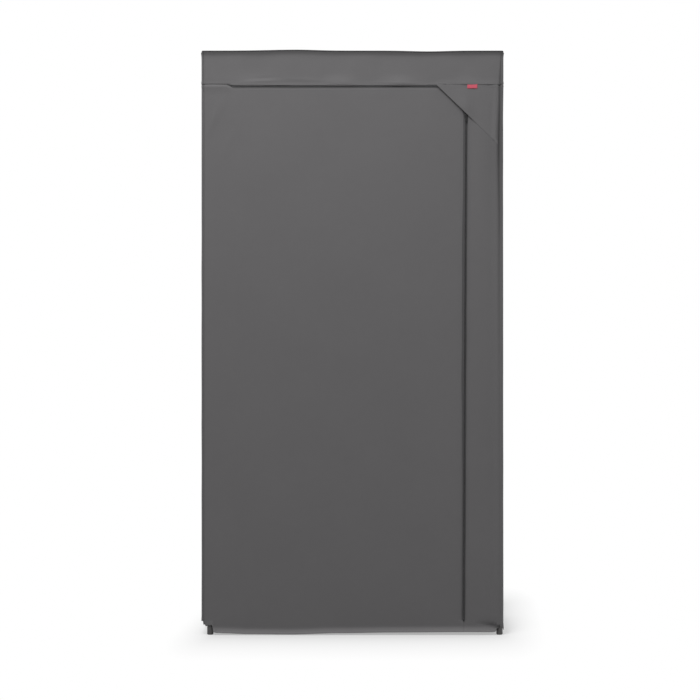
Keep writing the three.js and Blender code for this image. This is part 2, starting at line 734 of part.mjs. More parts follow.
// Corner gusset: a sewn triangle that bulges over the sliders, open along its slanting edge
function cornerGusset() {
  const right = halfWidth - gusset.rightInset;
  const left = right - gusset.wide;
  const top = seamZ + gusset.top;
  const low = top - gusset.height;
  const mouth = new THREE.Vector2(right - left, low - top).normalize();
  const inward = new THREE.Vector2(-mouth.y, mouth.x);
  const puffAt = new THREE.Vector2((left + right) / 2, (top + low) / 2);
  const proud = (x, z) => {
    const deep = new THREE.Vector2(x - left, z - top).dot(inward);
    const lift = smooth(1 - deep / gusset.mouth) * smooth((top - z) / gusset.climb);
    const ends = smooth((right - x) / gusset.foot) * smooth((x - left) / slider.wide);
    const away = puffAt.distanceTo(new THREE.Vector2(x, z));
    const puff = gusset.puff * Math.exp(-((away / gusset.foot) ** 2));
    return gusset.base + (gusset.lift + puff) * lift * ends;
  };
  const xs = [...spread(left, left + 2 * slider.wide, 3), ...spread(left + 4 * slider.wide, right, 8)];
  const zs = [...spread(low, top - 3 * gusset.top, 8), ...spread(top - 2 * gusset.top, top, 4)];
  const outline = [[left, top], [right, low], [right, top]];
  return cutOut(sheet(xs, zs, yFront, proud, cloth.thick), outline);
}
piece("corner_gusset", cornerGusset(), "cloth");

function seamTab() {
  const top = seamZ + tab.high - tab.drop;
  const outer = yFront - tab.proud - tab.thick;
  const right = halfWidth - tab.rightInset;
  return block(point(right - tab.wide, outer, top - tab.high), point(right, outer + tab.thick, top));
}
piece("seam_tab", seamTab(), "tab");

export default part;
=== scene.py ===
"""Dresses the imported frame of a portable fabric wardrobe.

Metres, +Z up, and the front faces -Y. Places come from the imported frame, and every piece rides on it.
"""

import math

import bpy
from mathutils import Matrix, Vector, noise


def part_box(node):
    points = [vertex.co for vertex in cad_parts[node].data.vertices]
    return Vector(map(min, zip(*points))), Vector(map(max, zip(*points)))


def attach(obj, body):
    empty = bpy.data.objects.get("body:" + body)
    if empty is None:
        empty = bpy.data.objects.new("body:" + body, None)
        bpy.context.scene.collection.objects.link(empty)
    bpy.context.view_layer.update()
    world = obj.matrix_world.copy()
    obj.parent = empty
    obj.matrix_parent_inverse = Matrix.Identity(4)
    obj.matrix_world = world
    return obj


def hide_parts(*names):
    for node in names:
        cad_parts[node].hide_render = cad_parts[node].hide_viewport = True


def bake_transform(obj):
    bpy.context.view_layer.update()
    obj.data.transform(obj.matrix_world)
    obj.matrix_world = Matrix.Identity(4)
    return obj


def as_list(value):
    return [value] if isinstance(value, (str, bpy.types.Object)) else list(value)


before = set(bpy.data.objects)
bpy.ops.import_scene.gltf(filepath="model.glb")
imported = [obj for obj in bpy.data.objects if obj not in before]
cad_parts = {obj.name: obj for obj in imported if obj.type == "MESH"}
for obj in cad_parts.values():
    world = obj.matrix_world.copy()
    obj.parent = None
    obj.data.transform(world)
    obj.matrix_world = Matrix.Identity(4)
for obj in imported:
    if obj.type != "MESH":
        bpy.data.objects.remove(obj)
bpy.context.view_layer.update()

bl_info = {
    "name": "Portable Fabric Wardrobe",
    "version": (1, 0, 0),
    "blender": (4, 5, 0),
    "location": "View3D > Sidebar > Wardrobe",
    "description": "Dresses the packed frame of a portable fabric wardrobe",
    "category": "Add Mesh",
}

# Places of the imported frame
SEAM, HEADER_TOP = (corner.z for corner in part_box("header_left"))
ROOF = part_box("cover_roof")[0].z
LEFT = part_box("cover_left")[0].x
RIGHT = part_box("cover_right")[1].x
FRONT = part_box("front_column")[0].y
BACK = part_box("cover_back")[1].y
GUSSET_LOW, GUSSET_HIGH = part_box("corner_gusset")
SIDES = {"left": Vector((1, 0, 0)), "right": Vector((-1, 0, 0))}
ENDS = {"front": Vector((0, 1, 0)), "back": Vector((0, -1, 0))}
ORIGIN = Vector((0, 0, 0))
UP = Vector((0, 0, 1))
OUTWARD = Vector((0, -1, 0))


def number(label, words, default, **more):
    """A number that a user may change."""
    return bpy.props.FloatProperty(name=label, description=words, default=default, **more)


def length(label, words, default):
    """A length that a user may change."""
    return number(label, words, default, unit="LENGTH", precision=5)


def colour(label, words, default):
    """A colour that a user may change."""
    more = {"subtype": "COLOR", "size": 3, "min": 0, "max": 1}
    return bpy.props.FloatVectorProperty(name=label, description=words, default=default, **more)


def settings(group):
    """One of the groups of settings that a user may change."""
    return getattr(bpy.context.scene, "wardrobe_" + group)


class CoverSettings(bpy.types.PropertyGroup):
    """The sewn cover."""

    thick: length("Cloth", "Thickness of the cloth", 0.0008)
    corner: length("Corner", "Radius of the cover round a post", 0.008)
    step: length("Mesh step", "Distance between the mesh lines of a panel", 0.010)
    hem: length("Hem", "Width of a folded hem", 0.011)
    gap: length("Gap", "Space left between two sewn edges", 0.0003)
    piping: length("Piping", "Radius of the bead round the roof", 0.0020)
    stitch: length("Stitch", "Length of one stitch", 0.0027)
    thread: length("Thread", "Radius of the sewing thread", 0.00026)
    dots: length("Bond dots", "Spacing of the cloth's bonded dots", 0.0012)
    tone: colour("Cloth colour", "Colour of the cloth", (0.138, 0.135, 0.138))
    piping_tone: colour("Piping colour", "Colour of the bead round the roof", (0.062, 0.060, 0.062))
    thread_tone: colour("Thread colour", "Colour of the sewing thread", (0.118, 0.115, 0.120))
    tab_tone: colour("Tab colour", "Colour of the small tab in the seam", (0.56, 0.085, 0.125))


class ZipSettings(bpy.types.PropertyGroup):
    """The L-shaped zip."""

    corner: length("Corner", "Radius of the zip's round corner", 0.055)
    slot: length("Slot", "From the zip's middle to the cloth's edge", 0.0047)
    tape: length("Tape", "Width of one tape", 0.014)
    tape_thick: length("Tape thickness", "Thickness of the tape", 0.0006)
    pitch: length("Pitch", "Distance between two turns of one coil", 0.0020)
    coil: length("Coil", "Width of one coil", 0.00185)
    coil_high: length("Coil height", "Height of one coil", 0.0017)
    proud: length("Coil stands proud", "How far the coil stands out of the cloth's plane", 0.0009)
    tape_tone: colour("Tape colour", "Colour of the tape", (0.072, 0.071, 0.073))
    coil_tone: colour("Coil colour", "Colour of the coil", (0.068, 0.067, 0.069))
    metal_tone: colour("Metal colour", "Colour of the enamelled sliders", (0.010, 0.010, 0.011))


class FrameSettings(bpy.types.PropertyGroup):
    """The push-together frame."""

    wall: length("Tube wall", "Wall of a tube", 0.0008)
    neck: length("Neck", "Length of the neck of an upper post", 0.040)
    hub: length("Hub", "Radius of a joiner's hub", 0.0102)
    socket: length("Socket", "Radius of a joiner's socket", 0.0088)
    collar: length("Collar", "Radius of the collar at a socket's mouth", 0.0096)
    reach: length("Reach", "From a joiner's middle to a socket's mouth", 0.036)
    bore: length("Bore", "Radius of a socket's bore", 0.0083)
    core: length("Core", "From a joiner's middle to the bottom of a bore", 0.010)
    leg: length("Leg", "Radius of the pin that enters a foot", 0.007)
    tube_tone: colour("Tube colour", "Colour of the powder coat", (0.47, 0.48, 0.49))
    joiner_tone: colour("Joiner colour", "Colour of the moulded joiners", (0.034, 0.034, 0.036))
    foot_tone: colour("Foot colour", "Colour of the moulded feet", (0.080, 0.077, 0.077))


class StageSettings(bpy.types.PropertyGroup):
    """Camera, lights and floor."""

    distance: length("Camera distance", "From the lens to the front of the wardrobe", 6.0)
    camera_high: length("Camera height", "Height of the lens", 0.8297)
    camera_side: length("Camera offset", "How far the lens stands to the left", -0.0073)
    lens: number("Lens", "Focal length in mm", 106.0)
    key: number("Key light", "Power of the key light in W", 58.0)
    side: number("Side light", "Power of the right light in W", 17.0)
    back: number("Back light", "Power of the back light in W", 48.0)
    sky: number("Sky", "Strength of the even light all round", 0.56)
    floor_tone: colour("Floor colour", "Colour of the floor as the camera sees it", (0.80, 0.80, 0.80))
    floor_bounce: colour("Floor bounce", "Colour of the light that the floor returns", (0.34, 0.34, 0.34))
    spread: length("Shadow spread", "How far the shadow reaches before the floor is plain white", 0.50)


def smooth(t):
    """Rises from 0 to 1 with level ends."""
    k = min(max(t, 0.0), 1.0)
    return k * k * (3 - 2 * k)


def step(t, start, over):
    """Rises from 0 at start to 1, or falls where over is negative."""
    return smooth((t - start) / over)


def bell(t):
    """A bump that is 1 in the middle."""
    return math.exp(-t * t)


def bumps(table, t):
    """A sum of bumps, each given by its place, its spread and its height."""
    return sum(high * bell((t - at) / spread) for at, spread, high in table)


def waves(table, a, b):
    """Even noise, the same in each run. A row gives its height, its scales along a and b and its seed."""
    return sum(high * noise.noise(Vector((a * k, b * m, seed))) for high, k, m, seed in table)


def between(a, b, t):
    """The value at a share of the way from a to b."""
    return a + (b - a) * t


def follow(points, t):
    """The value at t of a line through (place, value) points, smoothed between them."""
    if t <= points[0][0]:
        return points[0][1]
    for (a, low), (b, high) in zip(points, points[1:]):
        if t <= b:
            return between(low, high, step(t, a, b - a))
    return points[-1][1]


def lines(total, pace, low=(), high=()):
    """Places from 0 to total, as shares: closer ones near either end, and even steps in the middle."""
    start = [0.0, *low]
    end = [total - d for d in reversed(high)] + [total]
    count = max(2, round((end[0] - start[-1]) / pace))
    middle = [between(start[-1], end[0], k / count) for k in range(1, count)]
    return [p / total for p in start + middle + end]


class Value:
    """A number in a material. The operators on it add Math nodes."""

    def __init__(self, nodes, socket):
        self.nodes = nodes
        self.socket = socket

    def maths(self, operation, *values):
        return self.nodes.value("ShaderNodeMath", {"operation": operation}, dict(enumerate(values)))

    def __add__(self, other):
        return self.maths("ADD", self, other)

    def __sub__(self, other):
        return self.maths("SUBTRACT", self, other)

    def __rsub__(self, other):
        return self.maths("SUBTRACT", other, self)

    def __mul__(self, other):
        return self.maths("MULTIPLY", self, other)

    def __truediv__(self, other):
        return self.maths("DIVIDE", self, other)

    def __pow__(self, other):
        return self.maths("POWER", self, other)

    def __abs__(self):
        return self.maths("ABSOLUTE", self)

    __radd__ = __add__
    __rmul__ = __mul__

    def sine(self):
        return self.maths("SINE", self)

    def most(self, other):
        return self.maths("MAXIMUM", self, other)

    def least(self, other):
        return self.maths("MINIMUM", self, other)

    def ramp(self, low, high):
        """0 below low and 1 above high, with level ends."""
        kind = {"interpolation_type": "SMOOTHSTEP"}
        return self.nodes.value("ShaderNodeMapRange", kind, {0: self, 1: low, 2: high})


RAYS = ("Camera", "Glossy", "Transmission")


class Nodes:
    """A node tree that is being made, for a material or the world."""

    def __init__(self, owner):
        owner.use_nodes = True
        self.tree = owner.node_tree
        self.tree.nodes.clear()

    def node(self, kind, choices, values):
        """A node of a kind: its settings come first, then the values or links of its sockets."""
        made = self.tree.nodes.new(kind)
        for key, value in choices.items():
            setattr(made, key, value)
        for key, value in values.items():
            value = getattr(value, "socket", value)
            if isinstance(value, bpy.types.NodeSocket):
                self.tree.links.new(value, made.inputs[key])
            else:
                made.inputs[key].default_value = value
        return made.outputs

    def value(self, kind, choices, values, out=0):
        """A number that a node gives."""
        return Value(self, self.node(kind, choices, values)[out])

    def flat(self):
        """The place on the flat cloth, in metres."""
        return self.node("ShaderNodeAttribute", {"attribute_name": "flat"}, {})["Vector"]

    def here(self):
        """The place in the object, in metres."""
        return self.node("ShaderNodeTexCoord", {}, {})["Object"]

    def parts(self, vector):
        return [Value(self, socket) for socket in self.node("ShaderNodeSeparateXYZ", {}, {0: vector})]

    def noise(self, vector, scale, detail, rough):
        values = {"Vector": vector, "Scale": scale, "Detail": detail, "Roughness": rough}
        return self.value("ShaderNodeTexNoise", {}, values)

    def stretch(self, vector, scale):
        return self.node("ShaderNodeVectorMath", {"operation": "MULTIPLY"}, {0: vector, 1: scale})[0]

    def shade(self, tone, factor):
        """A colour made darker or lighter by a number."""
        return self.node("ShaderNodeVectorMath", {"operation": "SCALE"}, {0: tone, "Scale": factor})[0]

    def mix(self, factor, a, b):
        """A colour between two colours."""
        return self.node("ShaderNodeMix", {"data_type": "RGBA"}, {0: factor, 6: (*a, 1), 7: (*b, 1)})[2]

    def seen_rays(self):
        """1 for rays from the camera, and for what metal and glass show, and else 0."""
        path = self.node("ShaderNodeLightPath", {}, {})
        seen, glossy, passing = (Value(self, path[f"Is {kind} Ray"]) for kind in RAYS)
        return seen.most(glossy.most(passing))


def cover_cloth(nodes, tone):
    """Matt non-woven cloth: bonded dots, fine fibres, soft blotches, and painted light and shade near seams,
    hems, puffs and the piping.
    """
    flat = nodes.flat()
    across, up, _ = nodes.parts(flat)
    turns = math.pi / settings("cover").dots
    bonded = abs(((across + up) * turns).sine() * ((across - up) * turns).sine()).ramp(0.72, 0.96)
    fibres = nodes.noise(nodes.stretch(flat, (1.0, 0.22, 1.0)), 1900.0, 3.0, 0.65)
    threads = nodes.noise(nodes.stretch(flat, (0.22, 1.0, 1.0)), 1500.0, 2.0, 0.6)
    blotches = nodes.noise(flat, 5.5, 3.0, 0.55)
    clouds = nodes.noise(flat, 38.0, 3.0, 0.6)
    # The shade attribute holds painted light and shade: painted shade in gutters and under the piping,
    # painted light on hems, lip and puffs.
    shade = nodes.value("ShaderNodeAttribute", {"attribute_name": "shade"}, {}, "Fac")
    light = 0.93 + blotches * 0.08 + clouds * 0.05 + (fibres - 0.5) * 0.12 - bonded * 0.05 + shade * 0.36
    rough = 0.86 + fibres * 0.12 - bonded * 0.10
    height = fibres * 0.5 + threads * 0.4 - bonded * 0.9
    return {"Base Color": nodes.shade(tone, light), "Roughness": rough}, height


def piping_cloth(nodes, tone):
    """The same cloth wrapped tight round a bead, with slanting pulls."""
    flat = nodes.flat()
    across, up, _ = nodes.parts(flat)
    pulls = ((across + up * 0.8) * 900.0).sine()
    fibres = nodes.noise(flat, 1700.0, 3.0, 0.6)
    base = nodes.shade(tone, 0.9 + pulls * 0.05 + nodes.noise(flat, 30.0, 2.0, 0.5) * 0.14)
    return {"Base Color": base, "Roughness": 0.84 + fibres * 0.14}, pulls * 0.4 + fibres * 0.6


def tab_cloth(nodes, tone):
    """A plain woven ribbon with selvedges."""
    flat = nodes.flat()
    across, up, _ = nodes.parts(flat)
    ribs = (across * 9000.0).sine()
    weave = ribs * (up * 7000.0).sine()
    worn = nodes.noise(flat, 260.0, 3.0, 0.6)
    base = nodes.shade(tone, 0.90 + weave * 0.12 + worn * 0.22)
    return {"Base Color": base, "Roughness": 0.62 + worn * 0.2}, weave + ribs * 0.3


def sewing_thread(nodes, tone):
    """Twisted polyester thread."""
    across, up, _ = nodes.parts(nodes.flat())
    twist = ((across + up * 1.6) * 9000.0).sine()
    return {"Base Color": nodes.shade(tone, 0.95 + twist * 0.14), "Roughness": 0.66 + twist * 0.05}, twist


def zip_tape_cloth(nodes, tone):
    """Black herringbone tape."""
    flat = nodes.flat()
    across, up, _ = nodes.parts(flat)
    twill = ((across + abs((up * 1500.0).sine()) * 0.0009) * 5200.0).sine()
    dust = nodes.noise(flat, 120.0, 3.0, 0.6)
    base = nodes.shade(tone, 0.9 + twill * 0.12 + dust * 0.25)
    return {"Base Color": base, "Roughness": 0.8 + dust * 0.12}, twill


def coil_nylon(nodes, tone):
    """Black nylon with a dull shine."""
    wear = nodes.noise(nodes.flat(), 420.0, 3.0, 0.6)
    return {"Base Color": nodes.shade(tone, 0.85 + wear * 0.4), "Roughness": 0.42 + wear * 0.22}, wear


def slider_enamel(nodes, tone):
    """Black enamel on die-cast metal, rubbed in patches."""
    here = nodes.here()
    rubbed = nodes.noise(here, 700.0, 4.0, 0.65).ramp(0.68, 0.84)
    grain = nodes.noise(here, 2600.0, 2.0, 0.5)
    base = nodes.mix(rubbed, tone, (0.085, 0.083, 0.080))
    rough = 0.34 + grain * 0.16 + rubbed * 0.1
    return {"Base Color": base, "Roughness": rough, "Metallic": rubbed * 0.7}, grain - rubbed * 0.4


def tube_coat(nodes, tone):
    """Grey powder coat with orange peel and fine handling scratches."""
    here = nodes.here()
    peel = nodes.noise(here, 750.0, 2.0, 0.5)
    streaks = nodes.noise(nodes.stretch(here, (60.0, 60.0, 4.0)), 22.0, 3.0, 0.6).ramp(0.62, 0.8)
    base = nodes.shade(tone, 0.93 + nodes.noise(here, 9.0, 3.0, 0.5) * 0.12 - streaks * 0.06)
    return {"Base Color": base, "Roughness": 0.34 + peel * 0.12 + streaks * 0.16}, peel - streaks * 0.5


def moulded(nodes, tone):
    """Fine spark-eroded moulding with scuffs and faint flow marks."""
    here = nodes.here()
    grain = nodes.noise(here, 2300.0, 2.0, 0.55)
    flow = nodes.noise(nodes.stretch(here, (1.0, 1.0, 0.3)), 60.0, 3.0, 0.6)
    scuffs = nodes.noise(here, 170.0, 4.0, 0.7).ramp(0.60, 0.78)
    base = nodes.shade(tone, 0.86 + flow * 0.22 + scuffs * 0.35)
    rough = 0.46 + grain * 0.16 + scuffs * 0.18
    return {"Base Color": base, "Roughness": rough}, grain + flow * 0.6 - scuffs * 0.3


# Each finish: its slot, maker and colour, its specular, sheen and coat, and its bump's depth and strength
FINISHES = {
    "cover_cloth": ("cover_cloth", cover_cloth, "cover.tone", 0.28, 0.06, 0.0, 0.00012, 0.55),
    "piping_cloth": ("piping_cloth", piping_cloth, "cover.piping_tone", 0.25, 0.05, 0.0, 0.00015, 0.6),
    "tab_cloth": ("tab_cloth", tab_cloth, "cover.tab_tone", 0.35, 0.15, 0.0, 0.00012, 0.6),
    "sewing_thread": ("cover_cloth", sewing_thread, "cover.thread_tone", 0.4, 0.1, 0.0, 0.00006, 0.5),
    "zip_tape_cloth": ("zip_tape", zip_tape_cloth, "zip.tape_tone", 0.3, 0.06, 0.0, 0.0001, 0.5),
    "coil_nylon": ("zip_coil", coil_nylon, "zip.coil_tone", 0.45, 0.0, 0.0, 0.00004, 0.4),
    "slider_enamel": ("zip_metal", slider_enamel, "zip.metal_tone", 0.28, 0.0, 0.0, 0.00003, 0.5),
    "tube_coat": ("tube_paint", tube_coat, "frame.tube_tone", 0.5, 0.0, 0.12, 0.00008, 0.5),
    "joiner_plastic": ("joiner_plastic", moulded, "frame.joiner_tone", 0.42, 0.0, 0.0, 0.00007, 0.6),
    "foot_plastic": ("foot_plastic", moulded, "frame.foot_tone", 0.42, 0.0, 0.0, 0.00007, 0.6),
}
SHEEN_ROUGHNESS = 0.6
COAT_ROUGHNESS = 0.35
made_finishes = {}


def finish(name):
    """A finish's material, which is made once and shared by its pieces."""
    if name in made_finishes:
        return made_finishes[name]
    _, maker, place, specular, sheen, coat, deep, strength = FINISHES[name]
    group, key = place.split(".")
    material = bpy.data.materials.new(name)
    nodes = Nodes(material)
    looks, height = maker(nodes, tuple(getattr(settings(group), key)))
    bump = nodes.node("ShaderNodeBump", {}, {"Height": height, "Distance": deep, "Strength": strength})[0]
    plain = {"Specular IOR Level": specular, "Sheen Weight": sheen, "Sheen Roughness": SHEEN_ROUGHNESS}
    plain.update({"Coat Weight": coat, "Coat Roughness": COAT_ROUGHNESS, "Normal": bump})
    shader = nodes.node("ShaderNodeBsdfPrincipled", {}, {**plain, **looks})[0]
    nodes.node("ShaderNodeOutputMaterial", {}, {0: shader})
    made_finishes[name] = material
    return material


def linked(name, data):
    """A new object in the scene."""
    made = bpy.data.objects.new(name, data)
    bpy.context.scene.collection.objects.link(made)
    return made


ALL_SMOOTH = 180


def placed(name, mesh, material, sharp=ALL_SMOOTH):
    """An object with a finished mesh, smooth but for edges that are sharper than an angle."""
    mesh.materials.clear()
    mesh.materials.append(material)
    mesh.polygons.foreach_set("use_smooth", [True] * len(mesh.polygons))
    if sharp < ALL_SMOOTH:
        mesh.set_sharp_from_angle(angle=math.radians(sharp))
    return linked(name, mesh)


def make(name, points, faces, material, flat=(), sharp=ALL_SMOOTH):
    """A mesh object. flat gives each point its place on the flat cloth, and the painted light and shade
    there.
    """
    mesh = bpy.data.meshes.new(name)
    mesh.from_pydata([tuple(p) for p in points], [], faces)
    if flat:
        kept = mesh.attributes.new("flat", "FLOAT_VECTOR", "POINT")
        kept.data.foreach_set("vector", [x for a, b, _ in flat for x in (a, b, 0.0)])
        shade = mesh.attributes.new("shade", "FLOAT", "POINT")
        shade.data.foreach_set("value", [c for _, _, c in flat])
    return placed(name, mesh, material, sharp)


def flipped(faces):
    """The same faces, looking the other way."""
    return [face[::-1] for face in faces]


def skin(count, sides, closed=False):
    """Faces over rings of points, which form a loop or are capped at both ends."""
    faces = []
    for i in range(count if closed else count - 1):
        j = (i + 1) % count
        for k in range(sides):
            n = (k + 1) % sides
            faces.append([i * sides + k, i * sides + n, j * sides + n, j * sides + k])
    if not closed:
        faces += [list(reversed(range(sides))), list(range((count - 1) * sides, count * sides))]
    return faces


def shell(name, columns, rows, spot, material, flip=False):
    """A closed cloth panel over a grid. spot gives an outer point, an inner point and a flat place."""
    wide, layer = len(columns), len(columns) * len(rows)
    spots = [spot(u, v) for v in rows for u in columns]
    faces = []
    for start in range(0, layer - wide, wide):
        for k in range(start, start + wide - 1):
            quad = [k, k + 1, k + wide + 1, k + wide]
            faces += [quad, [layer + n for n in reversed(quad)]]
    rim = [*range(wide - 1), *range(wide - 1, layer - 1, wide)]
    rim += [*range(layer - 1, layer - wide, -1), *range(layer - wide, 0, -wide)]
    faces += [[a, layer + a, layer + b, b] for a, b in zip(rim, rim[1:] + rim[:1])]
    points = [outer for outer, _, _ in spots] + [inner for _, inner, _ in spots]
    flat = [place for _, _, place in spots] * 2
    return make(name, points, flipped(faces) if flip else faces, material, flat)


def dress(piece, nodes=(), body="root"):
    """Hides the imported solids that a piece stands for, and makes the piece ride on its body; a piece of
    the door has its place baked into its mesh instead.
    """
    if nodes:
        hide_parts(*nodes)
    if body == "door":
        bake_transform(piece)
    else:
        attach(piece, body)
    return piece


def sheet(piece, flat, rests_on, rows=(), **more):
    """Takes a piece of cloth, its flat size, what it rests on and the pieces on it, and does nothing with
    them.
    """
    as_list(rests_on)
    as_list(rows)


class Plan:
    """The cover seen from above, a rectangle with round corners. Places start at the front's middle."""

    def __init__(self):
        r = settings("cover").corner
        h, d, q = RIGHT - r, BACK - FRONT - 2 * r, math.pi * r / 2
        # Each run: its length, its start or centre, the angle of its outward side, and its radius
        self.runs = (
            (h, (0, FRONT), -90, 0),
            (q, (h, FRONT + r), -90, r),
            (d, (RIGHT, FRONT + r), 0, 0),
            (q, (h, BACK - r), 0, r),
            (2 * h, (h, BACK), 90, 0),
            (q, (-h, BACK - r), 90, r),
            (d, (LEFT, BACK - r), 180, 0),
            (q, (-h, FRONT + r), 180, r),
            (h + r, (-h, FRONT), 270, 0),
        )
        self.total = 4 * h + 2 * d + 4 * q
        self.left = -(h + q / 4)
        back_right = h + q + d + q / 2
        back_left = back_right + 2 * h + q
        # The ends of each wall at a height
        self.walls = {
            "front": (lambda z: self.left, front_seam),
            "right": (front_seam, lambda z: back_right),
            "back": (lambda z: back_right, lambda z: back_left),
            "left": (lambda z: back_left, lambda z: self.total + self.left),
        }

    def at(self, s):
        """The point and the outward direction at a place."""
        s = s % self.total
        for long, start, way, radius in self.runs:
            if s <= long:
                break
            s -= long
        angle = math.radians(way) + (s / radius if radius else 0)
        out = Vector((math.cos(angle), math.sin(angle)))
        return Vector(start) + (out * radius if radius else Vector((-out.y, out.x)) * s), out

    def point(self, s, z, height):
        """A point at a height out of the cover."""
        at, out = self.at(s)
        return Vector((*(at + out * height), z))


# The zip's route in X and Z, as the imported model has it
ZIP_LOW = Vector((0.323, 0.039))
ZIP_TOP = Vector((0.331, 1.598))
ZIP_LEFT = Vector((-0.357, 1.598))
PARTED = 0.003
PARK_SIDE = 0.030
PARK_TOP = 0.010
SLIDER_NOSE = 0.001
SLIDER_WEDGE = 0.0045
EDGE_WAVES = [(0.0008, 9, 1, 3.7)]
CLOSED_AT = 0.002
CLOSES_OVER = 0.005


class Route:
    """The zip's middle line, from its low end up the side, round the corner and left under the header."""

    def __init__(self):
        sizes = settings("zip")
        self.slot = sizes.slot
        self.corner = sizes.corner
        self.up = (ZIP_TOP - ZIP_LOW).normalized()
        turned = math.pi - math.acos(self.up.x)
        tangent = self.corner * math.tan(turned / 2)
        self.centre = Vector((ZIP_TOP.x - tangent, ZIP_TOP.y - self.corner))
        self.side = (ZIP_TOP - self.up * tangent - ZIP_LOW).length
        self.bent = self.side + self.corner * turned
        self.middle = (self.side + self.bent) / 2
        self.total = self.bent + self.centre.x - ZIP_LEFT.x
        self.park = {"side": self.side - PARK_SIDE, "top": self.bent + PARK_TOP}

    def at(self, s):
        """The point at a length along the zip, and the direction to the door."""
        if s <= self.side:
            return ZIP_LOW + self.up * s, Vector((-self.up.y, self.up.x))
        if s >= self.bent:
            return Vector((self.centre.x - s + self.bent, ZIP_TOP.y)), Vector((0, -1))
        angle = math.pi / 2 - (self.bent - s) / self.corner
        out = Vector((math.cos(angle), math.sin(angle)))
        return self.centre + out * self.corner, -out

    def beside(self, s, offset):
        at, door = self.at(s)
        return at + door * offset

    def parting(self, s, side):
        """How far the door's chain, on side 1, stands back between the two sliders."""
        if side < 0:
            return 0.0
        low = step(s, self.park["side"] - SLIDER_NOSE, SLIDER_WEDGE)
        return PARTED * low * step(s, self.park["top"] + SLIDER_NOSE, -SLIDER_WEDGE)

    def edge(self, s, side):
        """The cloth's edge on the door's side, 1, or on the other, -1. It closes at the zip's ends."""
        half = side * self.slot + self.parting(s, side) + waves(EDGE_WAVES, s, 0.0)
        ends = step(s, -CLOSED_AT, CLOSES_OVER) * step(s, self.total + CLOSED_AT, -CLOSES_OVER)
        return self.beside(s, half * ends)


# The cover's unevenness: tables of (place, value), of bumps, of waves, and of steps by their start and reach
SLIP = [(0.0, 0.010), (1.20, 0.012), (1.42, 0.0138), (1.602, 0.0105), (1.70, 0.0065)]
GUTTER = [
    (0.0, 0.0004),
    (0.70, 0.0005),
    (1.05, 0.0011),
    (1.35, 0.0020),
    (1.46, 0.0026),
    (1.60, 0.0024),
    (1.69, 0.0010),
]
LEFT_GUTTER = [
    (0.0, 0.0006),
    (0.80, 0.0007),
    (1.20, 0.0018),
    (1.45, 0.0028),
    (1.60, 0.0024),
    (1.69, 0.0014),
]
# Painted shade in the gutter of the front right seam, by height, and a broad painted shade beside it
SEAM_SHADE = [
    (0.0, 0.10),
    (0.70, 0.16),
    (1.05, 0.50),
    (1.30, 0.95),
    (1.46, 1.30),
    (1.58, 1.10),
    (1.69, 0.35),
]
SEAM_SPREAD = 0.0062
BROAD_SHADE = [(1.41, 0.13, 0.30)]
BROAD_SPREAD = 0.042
TUCKED = 0.0005
PLUMP = 0.0012
RISE_SHARE = 0.315
RISE_SPREAD_SHARES = (0.120, 0.085)
RISE_HIGH = 0.0027
DIP_SHARES = (0.750, 0.082)
DIP_DEEP = 0.0023
DOOR_HEM = [
    (-0.4385, 0.0415),
    (-0.4260, 0.0254),
    (-0.4190, 0.0280),
    (-0.4090, 0.0284),
    (-0.4045, 0.0078),
    (-0.3980, 0.0066),
    (-0.3750, 0.0057),
    (-0.3000, 0.0032),
    (-0.1800, 0.0022),
    (-0.0400, 0.0060),
    (0.1200, 0.0080),
    (0.3230, 0.0092),
]
COLUMN_HEM = [(0.3230, 0.0092), (0.4080, 0.0090), (0.4165, 0.0100), (0.4205, 0.0200), (0.4300, 0.0228)]
# A wall's hem from its start and from its end: level, and raised over the feet
LEVEL = None
WALL_HEMS = {
    "left": ([(0.0, 0.024), (0.036, LEVEL)], [(-0.150, LEVEL), (-0.090, 0.030), (0.0, 0.0420)]),
    "right": ([(0.0, 0.0228), (0.026, 0.0240), (0.040, LEVEL)], [(-0.036, LEVEL), (0.0, 0.024)]),
    "back": (
        [(0.0, 0.024), (0.014, 0.024), (0.036, LEVEL)],
        [(-0.036, LEVEL), (-0.014, 0.024), (0.0, 0.024)],
    ),
}
PUFFS = [(-0.036, 0.046, 0.0041), (0.139, 0.052, 0.0036), (-0.290, 0.064, 0.0030), (0.334, 0.030, 0.0022)]
PUFF_MIDDLE = 0.0028
PUFF_SPREAD = (0.0070, 0.0260)
PUFF_SAG_SHARE = 0.45
LIP_SAG = 0.0013
HEADER_CALM = (HEADER_TOP, -0.020)
SLIT = (ZIP_LOW.y - 0.004, 0.010)
OPENED = (ZIP_LEFT.x - 0.004, 0.012)
SAG_END = (0.245, -0.03)
LIP_END = (0.300, -0.03)
# Each wrinkle: its middle, its height over the seam, its length, its width, its lean and how proud it is
WRINKLES = [
    (-0.262, 0.0180, 0.034, 0.0028, 0.05, -0.0016),
    (-0.255, 0.0110, 0.040, 0.0034, 0.02, 0.0012),
    (-0.140, 0.0140, 0.060, 0.0040, -0.04, 0.0008),
    (0.140, 0.0050, 0.080, 0.0030, -0.03, 0.0006),
]
